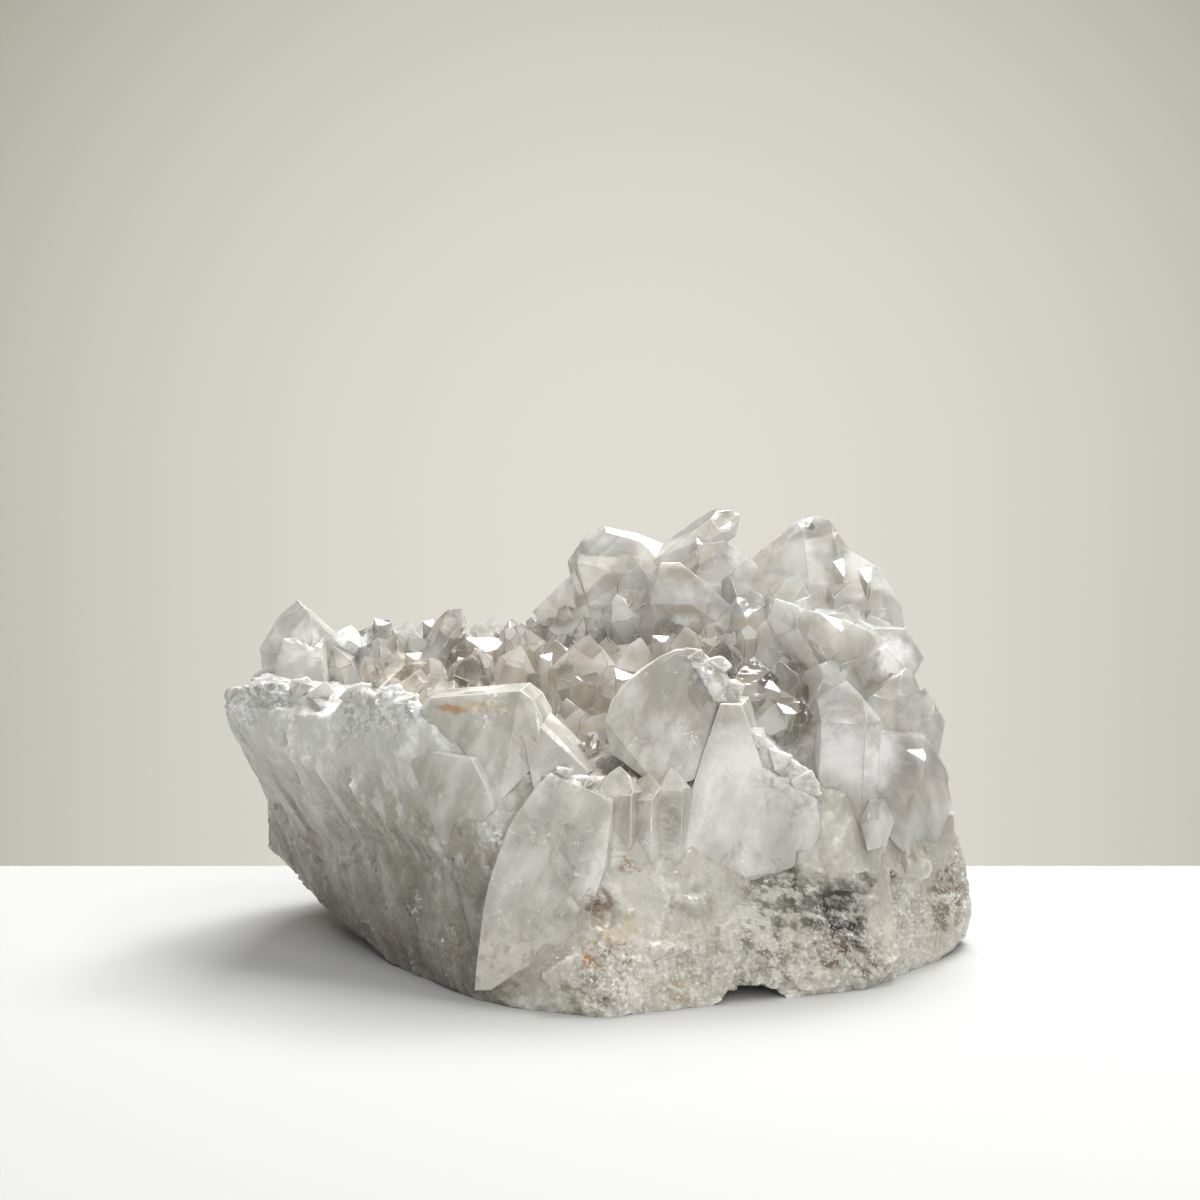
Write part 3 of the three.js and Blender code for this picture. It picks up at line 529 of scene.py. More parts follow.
MIRROR = Vector((0.29, -0.41, 0.866))  # the way the brightest broken faces of the pocket look
RIDGE_MIRROR = Vector((0.245, -0.43, 0.869))  # and those of the ridge
GLINTS = [  # place, width, depth, turn
    ((-27.3, 19, 70.5), 9, 8, 12),
    ((-2, -5.5, 66), 7, 5, 8),
    ((5.4, -13, 69), 4.6, 6, -25),
    ((-12.5, 4, 70), 3.5, 4, 30),
    ((14.5, 6, 74), 4, 4, 10),
    ((39.5, -13.5, 66.5), 3.6, 6, 60),
    ((43.5, -16, 61.5), 6, 5, -15),
    ((-44, 8, 69.5), 4, 4, 20),
]
RIDGE_GLINTS = [
    ((26.2, 30.5, 94), 7, 9, -30),
    ((57.4, 18, 89.5), 2.6, 10, 12),
    ((63.4, 15.5, 88), 3, 9, 6),
    ((50, 1, 77), 4, 6, 55),
    ((-53, 27, 74), 4, 4, -20),
    ((-41.5, 29, 73.5), 3, 4, 25),
    ((73.5, -13, 51), 4.5, 8, 35),
]

# ---------------------------------------------------------------- broken surfaces


def facet(place, size, seed):
    """Height of a broken surface at a place: each cell of it is a small tilted plane."""
    cell = noise.voronoi(place / size + Vector((seed, 0, 0)))[1][0]
    tilt = noise.cell_vector(cell * 37.0) - Vector((0.5, 0.5, 0.5))
    return tilt.dot(place / size + Vector((seed, 0, 0)) - cell)


def smooth(x, low, high):
    """0 below low, 1 above high, and smooth between."""
    t = min(max((x - low) / (high - low), 0), 1)
    return t * t * (3 - 2 * t)


def near(p, spots):
    """1 inside any of the spots, each (place, radius), falling to 0 a little outside it."""
    return max(smooth(radius * 1.3 - (p - Vector(at)).length, 0, radius * 0.6) for at, radius in spots)


# Places where the surface is torn and granular.
TORN = [
    ((-86, 0, 61), 9), ((-74, -3, 64), 7), ((-55, -14, 62), 9), ((-46, -17, 62), 9), ((-26, -29, 64), 5),
    ((2, -54, 9), 9), ((70, -18, 14), 9), ((84, -2, 16), 10), ((52, -34, 12), 8), ((25, -20, 73), 6),
    ((30, -20, 66), 5), ((41, -27, 49), 7), ((48, -29, 43), 5), ((-8, -34, 50), 5),
]

# Hollows in the granular foot.
PITS = [((54, -31, 17), 4.5), ((60, -27, 23), 2.5), ((46, -35, 14), 3), ((68, -20, 20), 3), ((1, -48, 21), 3)]
# Places where the surface is even, along the edges of the slabs.
CALM = [
    ((-26, -43, 24), 5), ((-27, -44, 15), 6), ((-27, -45, 6), 7), ((-44, -22, 46), 8), ((-37, -28, 38), 8),
    ((-47, -18, 53), 5), ((-30, -31, 36), 6), ((-19, -48, 7), 6), ((-12, -50, 11), 6), ((-6, -50, 17), 5),
]


def rock(p, n):
    """The block: long steep ledges on the left face, broken facets elsewhere, torn and granular in places."""
    p = p - SHIFT
    left = smooth(-p.x - 0.5 * p.y - 0.35 * p.z, 4, 18)
    along = p.x * 0.42 - p.z * 0.9
    across = p.x * 0.9 + p.z * 0.42
    ledge = facet(Vector((along / 6, across, p.y)), 6.5, 3)
    ledge += 0.4 * facet(Vector((along / 4, across, p.y)), 2.6, 8)
    ledge += 0.9 * facet(Vector((along / 5, across, p.y)), 15, 11)
    broad = 2.6 * facet(p, 15, 1)
    middling = 1.25 * facet(p, 6, 2)
    torn = near(p, TORN)
    low = smooth(19 - p.z + 6 * noise.noise(p / 9), 0, 8) * (1 - left)
    small = 0.6 * facet(p, 2.6, 4) + 0.3 * facet(p, 1.4, 9) + 0.1 * noise.noise(p / 1.3)
    rough = middling * (0.45 + 0.3 * torn + 1.1 * low)
    pit = 1.8 * near(p, PITS)
    calm = 1 - 0.8 * near(p, CALM)
    rough_part = left * 1.8 * ledge + (1 - 0.65 * left) * (broad + rough)
    return calm * rough_part + small * (0.16 + torn + 0.5 * low) - pit


def wall(p, n):
    """The crust's wall: gentle facets, rougher where it faces sideways."""
    p = p - SHIFT
    edge = smooth(abs(n.x) + 0.6 * abs(n.z), 0.5, 0.95)
    return 0.5 * facet(p, 9, 5) + edge * (0.9 * facet(p, 3.2, 6) + 0.45 * facet(p, 1.5, 7))


# Broad broken lumps, sunk in the block low in front and along the foot of the slabs: place, size.
CHUNKS = [
    ((-6, -49.6, 9), 15), ((14, -45.2, 12), 17), ((31, -37.6, 11), 15), ((46, -33.2, 12), 16),
    ((66, -21.6, 13), 14), ((79, -7.6, 13), 13), ((33, -36.2, 22), 10), ((47, -31, 27), 9),
    ((20, -41, 20), 10), ((73, -14.5, 23), 10), ((3, -45.5, 21), 9),
]


masses = [LEFT_FOOT, LEFT_WALL, BACK_RIM, FRONT_FOOT, RIGHT_BODY, BACK_RIDGE, BACK_BOSS, RIGHT_BOSS]
masses += [BACK_FILL, *RIM] + [chunk(*c) for c in CHUNKS]
block = fused("massive_quartz", masses, [HOLLOW, ARCH])
moved(remeshed(block, ROCK_VOXEL), rock, face_planes(HOLLOW))

bits = [chunk(*b) for b in BITS]
slabs = fused("slabs", SLABS + [crystal(*c) for c in COLUMNS] + bits, chamfer=SLAB_CHAMFER)

# ---------------------------------------------------------------- the crust in the hollow

INNER_WALL = toward(HOLLOW, CRUST_FOCUS, 1 - CRUST_THICK)
WALL_PLANES = face_planes(INNER_WALL)
RINGS = [(0.15, 5), (0.36, 10), (0.56, 15), (0.76, 20), (0.94, 26)]  # share of the crust's reach, and count
RING_TALL = (5.5, 3.0)  # height of the crystals over the wall, and how much it varies
RING_WIDE = (5.6, 1.8)  # and their width
RING_SINK = 3  # how deep they stand in the crust
RING_LEAN = 0.4  # and how far they lean off the way to the middle
STEP_VARIES = 0.35  # share of a step by which a small crystal is off its place
ROW_FLOOR = 60  # how deep the rows of small crystals reach outside the hollow
ROW_SINK = 4  # how deep they stand in the rock
ROW_LEAST = 14  # and the least length of one
ROW_OFF = (2.2, 2.4)  # how far the tips are off their path, sideways and up
ROW_LEAN = (0.5, 0.35)  # how far the crystals lean, along x and along y
ROW_FLAT = 0.8  # and how flat they are
CLEAR_ROWS = [  # path of the tips, count, width, lean, seed
    ([(-50, 1, 65), (-38, -2, 64), (-27, 1, 64)], 8, 5.5, (0.1, -0.2, 1), 300),
    ([(-4, -8, 62), (12, -10, 64), (28, -8, 66)], 7, 6, (0.1, -0.3, 1), 320),
    ([(-57, 10, 68), (-40, 13, 67.5), (-27, 15, 68)], 9, 6, (0.1, -0.25, 1), 340),
    ([(-12, 20, 70), (4, 16, 71), (18, 14, 73), (32, 8, 73)], 12, 6.5, (0, -0.3, 1), 360),
    ([(-6, 24, 74), (8, 21, 75), (22, 17, 76), (36, 10, 77)], 14, 6, (0, -0.35, 1), 380),
    ([(30, -3, 70), (38, -4, 72), (47, -4, 69)], 5, 7, (0.1, -0.3, 1), 400),
    ([(-37, 22, 70.5), (-24, 23.5, 71), (-9, 24, 72)], 7, 7.5, (0, -0.4, 1), 640),
]
# Clear ones along the rim, the ridge's foot and the notch.
RIM_ROWS = [
    ([(-66, 18, 71), (-52, 22, 71.5), (-36, 22, 71)], 8, 8, (0, -0.25, 1), 440),
    ([(-60, 30, 72), (-36, 30, 73), (-14, 30, 73.5), (0, 27, 78)], 13, 8.5, (0, -0.1, 1), 460),
    ([(-16, 33, 71), (-9, 31, 71), (-2, 30, 74)], 6, 7, (0, -0.2, 1), 560),
    ([(-7, -27, 52.5), (0, -25.5, 54), (6, -25.5, 55)], 6, 5, (0.1, -0.2, 1), 600),
    ([(-9, -23, 55), (0, -21, 56), (8, -20, 57)], 6, 6, (0.1, -0.2, 1), 620),
]
# Milky ones behind the rim and round the ridge.
MILKY_ROWS = [
    ([(-56, 40, 70), (-30, 41, 70), (-6, 40, 76)], 10, 8, (0, 0.2, 1), 480),
    ([(4, 26, 82), (14, 21, 80), (26, 17, 80), (38, 13, 82)], 11, 7.5, (0, -0.4, 1), 500),
    ([(40, 10, 79), (50, 8, 82), (62, 8, 81), (70, 8, 78)], 7, 9, (0.1, -0.4, 1), 520),
    ([(48, -6, 68), (60, -4, 72), (74, 0, 70)], 5, 9.5, (0.1, -0.2, 1), 540),
    ([(8, 44, 88), (24, 46, 86), (44, 46, 86), (60, 40, 84)], 9, 10, (0, 0.35, 1), 580),
]


def floor_under(x, y):
    """How high the wall of the crust stands at a place."""
    at = np.array((x + SHIFT.x, y + SHIFT.y))
    return max((d - n[:2] @ at) / n[2] for n, d in WALL_PLANES if n[2] < -0.01)


def druse():
    """Small crystals standing on the hollow's wall in rings, pointing up towards the middle of its mouth."""
    small = []
    for ring, (size, count) in enumerate(RINGS):
        for k in range(count):
            seed = 100 + 40 * ring + k
            around = ((k + STEP_VARIES * wobble(seed, 1)) / count + ring / 7) * 2 * math.pi
            reach = size + 0.06 * wobble(seed, 9)
            x = CRUST_FOCUS.x + CRUST_REACH[0] * reach * math.cos(around)
            y = CRUST_FOCUS.y + CRUST_REACH[1] * reach * math.sin(around)
            foot = Vector((x, y, floor_under(x, y)))
            lean = Vector((RING_LEAN * wobble(seed, 3), RING_LEAN * wobble(seed, 4), 0.2))
            axis = ((CRUST_FOCUS - foot).normalized() + lean).normalized()
            tall = RING_TALL[0] + RING_TALL[1] * wobble(seed, 5)
            wide = RING_WIDE[0] + RING_WIDE[1] * wobble(seed, 6)
            turn = 60 * wobble(seed, 7)
            small.append(crystal(foot + axis * tall, axis, wide, tall + RING_SINK, turn, seed))
    return small


def row(path, count, width, lean, seed):
    """Small crystals side by side along a path of tips, each long enough to stand in the rock under it."""
    small = []
    for k in range(count):
        own = seed + k
        t = (k + 0.5 + STEP_VARIES * wobble(own, 1)) / count * (len(path) - 1)
        i = min(int(t), len(path) - 2)
        tip = Vector(path[i]).lerp(Vector(path[i + 1]), t - i)
        tip += Vector((0, ROW_OFF[0] * wobble(own, 2), ROW_OFF[1] * wobble(own, 3)))
        axis = Vector(lean) + Vector((ROW_LEAN[0] * wobble(own, 4), ROW_LEAN[1] * wobble(own, 5), 0))
        down = max(tip.z - min(floor_under(tip.x, tip.y), ROW_FLOOR) + ROW_SINK, ROW_LEAST)
        wide = width * (1 + 0.5 * wobble(own, 6))
        small.append(crystal(tip, axis, wide, down, 60 * wobble(own, 7), own, ROW_FLAT))
    return small


LINING = (Vector((-5, 2, 70)), 1.01)  # the crust's back: the hollow, this much larger from this place
LID = [  # what is left of the crust lies inside this body
    (-62, -40, 50), (-62, 40, 71), (50, 40, 76), (50, -40, 38), (-62, -40, 20), (-62, 40, 20), (50, 40, 20),
    (50, -40, 20),
]


def grown(crystals, rows):
    """Single crystals, and rows of small ones."""
    return [crystal(*c) for c in crystals], [c for line in rows for c in row(*line)]


single, rows = grown(CRYSTALS, MILKY_ROWS)
mirrors = [glint(*g, RIDGE_MIRROR) for g in RIDGE_GLINTS]
milky = fused("milky_crystals", BLOCKY + single + mirrors + rows, chamfer=CHAMFER)
single, rows = grown(CLEAR, RIM_ROWS)
clear = fused("clear_crystals", single + rows, chamfer=CHAMFER)

crust = fused("crust_base", [toward(HOLLOW, *LINING)], [INNER_WALL], [LID])
moved(remeshed(crust, CRUST_VOXEL), wall)
single, rows = grown(POCKET, CLEAR_ROWS)
mirrors = [glint(*g, MIRROR) for g in GLINTS]
pocket = fused("pocket_druse", single + druse() + rows + mirrors, chamfer=CHAMFER, least=LEAST_EDGE)

# ---------------------------------------------------------------- materials

QUARTZ_IOR = 1.544
ROCK_IOR = 1.54  # of the granular block


class Nodes:
    """Short names for building the shader of a material or of the world. Sizes and distances are in mm."""

    def __init__(self, owner, place="Object"):
        owner.use_nodes = True
        self.owner = owner
        self.tree = owner.node_tree
        self.shader = self.tree.nodes.get("Principled BSDF") or self.tree.nodes["Background"]
        self.place = self.add("TexCoord", {}, place)

    def add(self, kind, inputs, output=0, **settings):
        """A new node: its inputs filled by name or number, and one of its outputs given back."""
        node = self.tree.nodes.new("ShaderNode" + kind)
        for name, value in settings.items():
            setattr(node, name, value)
        for key, value in inputs.items():
            self.plug(node.inputs[key], value)
        return node.outputs[output]

    def plug(self, socket, value):
        if isinstance(value, bpy.types.NodeSocket):
            self.tree.links.new(value, socket)
        else:
            socket.default_value = value

    def set(self, **values):
        for name, value in values.items():
            self.plug(self.shader.inputs[name.replace("_", " ")], value)

    def math(self, operation, a, b=0.0):
        return self.add("Math", {0: a, 1: b}, operation=operation)

    def times(self, a, b):
        return self.math("MULTIPLY", a, b)

    def vector(self, operation, a, b=(0, 0, 0)):
        output = "Value" if operation in ("DISTANCE", "LENGTH", "DOT_PRODUCT") else "Vector"
        return self.add("VectorMath", {0: a, 1: b}, output, operation=operation)

    def scaled(self, a, by):
        return self.add("VectorMath", {0: a, "Scale": by}, operation="SCALE")

    def noise(self, size, detail=3.0, rough=0.5, place=None, output="Fac"):
        inputs = {"Vector": place or self.place, "Scale": 1 / (size * MM)}
        return self.add("TexNoise", {**inputs, "Detail": detail, "Roughness": rough}, output)

    def cells(self, size, place=None, output="Color", feature="F1"):
        inputs = {"Vector": place or self.place, "Scale": 1 / (size * MM)}
        return self.add("TexVoronoi", inputs, output, feature=feature)

    def span(self, value, low, high, to_low=0.0, to_high=1.0, way="SMOOTHSTEP"):
        """The value's way from low to high, as the way from to_low to to_high."""
        inputs = dict(enumerate((value, low, high, to_low, to_high)))
        return self.add("MapRange", inputs, interpolation_type=way)

    def mix(self, amount, a, b):
        return self.add("Mix", {"Factor": amount, "A": a, "B": b}, "Result", data_type="RGBA")

    def tint(self, mask, share, colour):
        """Gives the body a share of another colour (screen values) where the mask is 1."""
        self.body = self.mix(self.times(mask, share), self.body, rgb(*colour))

    def milky(self, weight, reach):
        """Light spreads under the surface: its share, and how far."""
        self.set(Subsurface_Weight=weight, Subsurface_Radius=(1.0, 1.0, 1.0), Subsurface_Scale=reach * MM)

    def turned(self, angles, scale):
        """The place, turned by angles in degrees and then stretched."""
        angles = tuple(math.radians(a) for a in angles)
        inputs = {"Vector": self.place, "Rotation": angles, "Scale": tuple(1 / c for c in scale)}
        return self.add("Mapping", inputs, vector_type="TEXTURE")

    def bump(self, height, distance, strength=1.0, normal=None):
        inputs = {"Height": height, "Distance": distance * MM, "Strength": strength}
        if normal is not None:
            inputs["Normal"] = normal
        return self.add("Bump", inputs)

    def coordinates(self):
        """X, Y and Z of the ragged place."""
        return self.add("SeparateXYZ", {0: self.ragged}).node.outputs

    def spot(self, at, radius, blur=None):
        """1 within the radius (mm) of a point, fading out, with a ragged edge."""
        centre = (Vector(at) + SHIFT) * MM
        far = self.vector("DISTANCE", self.ragged, centre)
        return self.span(far, radius * MM, (radius * 0.45 if blur is None else radius - blur) * MM)

    def smear(self, at, reach):
        """1 in the middle of an ellipsoid (mm), fading to its border."""
        away = self.vector("SUBTRACT", self.bent, (Vector(at) + SHIFT) * MM)
        far = self.vector("LENGTH", self.vector("MULTIPLY", away, tuple(1 / (r * MM) for r in reach)))
        return self.span(far, 1.0, 0.35)


def new_material(name):
    """The nodes of a new material."""
    return Nodes(bpy.data.materials.new(name))


def rgb(r, g, b):
    """A colour from its screen values."""
    return (*[((c / 255) ** 2.2) for c in (r, g, b)], 1.0)


# Rust in thin smears under the crest of the rim: place, reach along each axis, colour.
SMEARS = [
    ((-33.5, -25, 63.4), (6, 9, 1.1), (192, 150, 104)),
    ((-26, -27, 64.2), (9, 9, 1.6), (218, 204, 172)),
]
# Stains on the block, and painted shade in the arch and on the left lip: place, radius, colour, and how
# speckled each is from 0 (even) to 1 (grains).
STAINS_AND_PAINTED_SHADE = [
    ((0, -47.4, 22.9), 5, (104, 80, 56), 0.2),  # the brown spot low in front, and grains round it
    ((2.6, -50.3, 16.5), 10, (196, 178, 148), 0.6),
    ((-2.2, -52.6, 12.1), 3.4, (178, 128, 82), 0.4),
    ((3.8, -52, 13.1), 4.5, (104, 88, 68), 0.75),
    ((6.7, -42.5, 31.3), 3.6, (146, 116, 86), 0.6),
    ((39.7, -34.6, 23.8), 10, (98, 98, 84), 0.5),  # chlorite along the foot of the slabs
    ((48, -34, 20), 8, (84, 84, 70), 0.5),
    ((38.4, -39.8, 14.3), 10, (104, 104, 88), 0.75),
    ((58, -32, 6), 9, (104, 96, 76), 0.55),
    ((44, -38, 6), 7, (112, 106, 88), 0.6),
    ((54.3, -30.6, 18.8), 9, (54, 53, 43), 0.2),  # the dark patch, brown below
    ((56, -31.5, 13.5), 6, (52, 48, 38), 0.3),
    ((52.7, -36, 9.6), 5.5, (104, 80, 54), 0.4),
    ((68.3, -19.3, 21.7), 3.4, (70, 62, 50), 0.5),
    ((61.9, -26.5, 24.7), 2.4, (120, 110, 92), 0.3),
    ((74, -15, 30), 7, (150, 144, 124), 0.7),
    ((81.5, -8.5, 14), 11, (116, 113, 94), 0.5),  # the granular right end
    ((84, -5, 17), 6.5, (124, 98, 64), 0.6),
    ((34, -42, 3), 7, (124, 116, 98), 0.3),  # painted shade in the arch under the foot
    ((42, -27, 49), 9, (240, 240, 240), 0.3),  # the bright broken edges of the slabs
    ((27, -19.5, 70), 7, (236, 236, 236), 0.35),
    ((-75, 0, 64), 11, (170, 170, 166), 0.3),  # painted shade on the torn lip at the left
    ((-64, -7, 63.5), 7, (172, 171, 165), 0.3),
    ((-22, -46, 3), 9, (136, 128, 108), 0.6),  # dirt along the foot
    ((-4, -54, 3), 9, (142, 134, 114), 0.55),
    ((18, -47, 4), 8, (160, 148, 122), 0.6),
    ((-48, -22, 8), 8, (140, 132, 116), 0.85),
    ((-66, -2, 26), 5, (168, 158, 138), 0.85),
]


def speckle(n, coarse, share):
    """1 in grains that cover less of the surface the higher the share."""
    return n.span(coarse, 0.34 + 0.16 * share, 0.5 + 0.16 * share)


def sparkle(n, *grains):
    """A normal that tips from grain to grain. Each kind of grain is (size, how far its normals tip)."""
    normal = n.add("NewGeometry", {}, "Normal")
    for size, amount in grains:
        tip = n.vector("SUBTRACT", n.cells(size, place=n.bent), (0.5, 0.5, 0.5))
        normal = n.vector("ADD", normal, n.scaled(tip, amount))
    return n.vector("NORMALIZE", normal)


def roughened(n):
    """Gives n.ragged, the place shaken so that borders drawn with it are ragged, and n.bent, shaken less."""
    offset = n.vector("SUBTRACT", n.noise(4, 5, 0.65, output="Color"), (0.5, 0.5, 0.5))
    n.ragged = n.vector("ADD", n.place, n.scaled(offset, 9 * MM))
    n.bent = n.vector("ADD", n.place, n.scaled(offset, 3 * MM))


def cracks(n, size, width):
    """1 on thin healed cracks, here and there."""
    away = n.cells(size, n.bent, "Distance", "DISTANCE_TO_EDGE")
    return n.times(n.span(away, width / size, 0.0), n.span(n.noise(size * 0.8, 2), 0.52, 0.66))


def grainy(n, light):
    """The colour of granular quartz, brown grains among light ones."""
    return n.mix(n.span(n.noise(2.4, 6, 0.7), 0.36, 0.54), rgb(154, 146, 130), rgb(*light))


def torn_places(n, start):
    """1 in the torn places, and start elsewhere."""
    torn = start
    for at, radius in TORN:
        torn = n.math("MAXIMUM", torn, n.spot(at, radius * 1.15))
    return torn


def massive_material():
    """The broken block: streaked at the left, granular low at the right, stained in places, with painted
    light and shade on the left face, edges, creases, arch and lip, and painted sparkle where torn.
    """
    n = new_material("massive_quartz")
    roughened(n)
    place = n.coordinates()
    cloud = n.noise(15, 2)
    n.body = n.mix(n.span(cloud, 0.3, 0.7), rgb(177, 173, 160), rgb(201, 197, 186))
    streak = n.noise(4.2, 5, 0.62, place=n.turned(STREAK_TURN, (1, 1, 0.12)))
    left = n.span(place["X"], -12 * MM, -30 * MM)
    lean = n.span(left, 0, 1, 0.2, 1)
    n.tint(n.span(streak, 0.5, 0.64), n.times(lean, 0.7), (238, 239, 238))
    n.tint(n.span(streak, 0.46, 0.34), n.times(lean, 0.6), (138, 136, 128))
    veil = n.span(n.noise(8, 4, 0.6), 0.52, 0.7)
    n.tint(veil, 0.4, (240, 240, 238))
    fine = n.noise(1.2, 4, 0.65)
    n.tint(n.span(fine, 0.5, 0.7), 0.22, (242, 242, 241))
    n.tint(n.span(fine, 0.46, 0.3), 0.2, (150, 146, 136))
    to_right = n.span(place["X"], -16 * MM, 6 * MM, 0.25, 1)
    low = n.times(n.span(place["Z"], 25 * MM, 9 * MM), to_right)
    # Painted light: the upper part of the left face is made lighter.
    high = n.times(n.span(place["Z"], 36 * MM, 56 * MM), left)
    n.tint(high, 0.5, (226, 228, 228))
    # Painted shade: the left face darkens towards its foot.
    deep = n.times(n.span(place["Z"], 54 * MM, 2 * MM), left)
    n.tint(deep, 0.9, (108, 104, 92))
    patches = n.span(n.noise(8, 3), 0.44, 0.6)
    n.body = n.mix(n.times(n.times(low, patches), 0.7), n.body, grainy(n, (208, 203, 189)))
    # Painted highlight on sharp outer edges, and painted shade in creases, both read from pointiness.
    edge_light_and_crease_shade = n.add("NewGeometry", {}, "Pointiness")
    n.tint(n.span(edge_light_and_crease_shade, 0.515, 0.59), 0.55, (248, 248, 246))
    n.tint(n.span(edge_light_and_crease_shade, 0.48, 0.4), 0.4, (132, 127, 116))
    coarse = n.noise(2.2, 6, 0.68, place=n.turned((0, 25, 0), (0.55, 1, 1)))
    # Stains, with painted shade in the arch and on the left lip.
    for at, radius, colour, share in STAINS_AND_PAINTED_SHADE:
        mask = n.times(n.spot(at, radius), speckle(n, coarse, share))
        n.tint(mask, 0.88, colour)
    torn = torn_places(n, n.times(low, 0.5))
    # Painted sparkle: white grains in the torn places stand for tiny highlights.
    painted_sparkle = n.times(torn, n.span(n.noise(0.8, 2), 0.54, 0.64))
    n.tint(painted_sparkle, 0.55, (252, 252, 252))
    gloss = n.times(n.span(cloud, 0.3, 0.7, 0.08, 0.2), n.span(torn, 0, 1, 1, 0.4))
    n.set(Base_Color=n.body, Roughness=gloss, IOR=ROCK_IOR)
    n.milky(0.4, 2.6)
    solid_share = n.math("MAXIMUM", low, n.times(veil, 0.7))
    n.set(Transmission_Weight=n.times(n.math("SUBTRACT", 1.0, solid_share), 0.16))
    grain = sparkle(n, (0.8, n.times(torn, 1.2)))
    ridges = n.bump(streak, 0.45, strength=lean, normal=grain)
    n.set(Normal=n.bump(n.noise(3.0, 3, 0.6), 0.4, normal=ridges))
    return n.owner


def wall_material():
    """The hollow's wall between the clear crystals: smooth brownish quartz."""
    n = new_material("wall_quartz")
    roughened(n)
    n.body = n.mix(n.span(n.noise(7, 4), 0.36, 0.62), rgb(212, 203, 190), rgb(238, 233, 225))
    n.set(Base_Color=n.body, Roughness=0.12, IOR=QUARTZ_IOR)
    n.milky(1.0, 4)
    n.set(Normal=n.bump(n.noise(5, 2), 0.4, normal=sparkle(n, (3.5, 0.22))))
    return n.owner


def slab_material():
    """The smooth slabs: milky quartz with soft clouds in it, darker in the middle one."""
    n = new_material("slab_quartz")
    roughened(n)
    cloud = n.noise(18, 3)
    n.body = n.mix(n.span(cloud, 0.35, 0.65), rgb(196, 193, 183), rgb(217, 215, 207))
    middle = n.spot((16, -22, 64), 18, 8)
    n.tint(middle, 0.7, (160, 155, 144))
    columns = n.spot((9, -34, 42), 13, 8)
    n.tint(columns, 0.6, (178, 172, 158))
    wisps = n.noise(9, 6, 0.6, place=n.turned((0, 24, 10), (1, 1, 0.5)))
    n.tint(n.span(wisps, 0.5, 0.7), 0.42, (244, 244, 242))
    n.tint(n.span(wisps, 0.46, 0.34), 0.16, (150, 147, 138))
    # Painted highlight: tiny white flecks stand for sparkles.
    painted_glints = n.times(n.span(n.noise(0.6, 1), 0.6, 0.7), n.span(n.noise(5, 3), 0.57, 0.66))
    n.tint(painted_glints, 0.7, (252, 252, 252))
    bright = n.spot((32, -28, 46), 17, 9)
    n.tint(bright, 0.5, (244, 244, 242))
    n.tint(cracks(n, 11, 0.2), 0.5, (252, 252, 252))
    for at, reach, colour in SMEARS:
        n.tint(n.smear(at, reach), 0.8, colour)
    place = n.coordinates()
    low = n.span(place["Z"], 24 * MM, 12 * MM)
    n.body = n.mix(n.times(low, 0.6), n.body, grainy(n, (206, 202, 190)))
    torn = torn_places(n, 0.0)
    # Painted sparkle: white grains in the torn places stand for tiny highlights.
    painted_sparkle = n.times(torn, n.span(n.noise(1.3, 2), 0.46, 0.62))
    n.tint(painted_sparkle, 0.35, (250, 250, 250))
    n.set(Base_Color=n.body, Roughness=n.span(wisps, 0.35, 0.65, 0.05, 0.16), IOR=QUARTZ_IOR)
    n.milky(0.6, 3.0)
    see_through = n.span(wisps, 0.4, 0.6, 0.36, 0.16)
    n.set(Transmission_Weight=n.times(see_through, n.span(low, 0, 1, 1, 0.2)))
    grain = sparkle(n, (8, 0.14), (1.0, n.times(torn, 0.6)))
    n.set(Normal=n.bump(n.noise(6, 3, 0.5), 0.5, normal=grain))
    return n.owner


# Tinted places in the milky crystals, and painted shade in two dark corners: place, reach along each axis,
# colour, clouding.
TINTS_AND_PAINTED_SHADE = [
    ((20, 22, 86.8), (8.5, 9, 2.8), (160, 152, 136), 0.5),  # the grey top of the arch-shaped one
    ((50.8, 27, 97.2), (2.4, 5, 1.5), (70, 69, 66), 0.9),  # painted shade: two dark corners, nearly opaque
    ((76, 2, 69), (1.4, 5, 2.6), (70, 68, 62), 0.9),
    ((21, 18, 79), (9, 8, 2.2), (196, 186, 170), 0.3),
    ((40, 24, 93), (2, 7, 4), (190, 186, 176), 0.4),
    ((30, 10, 77), (12, 8, 2.4), (196, 184, 168), 0.3),
]
# Milky places in the crystals.
MILKY = [((57, -14, 50), 17), ((57, -14, 36), 12), ((68, 0, 70), 8), ((66, 22, 82), 8), ((21, 22, 76), 7),
         ((-60, 27, 68), 8)]


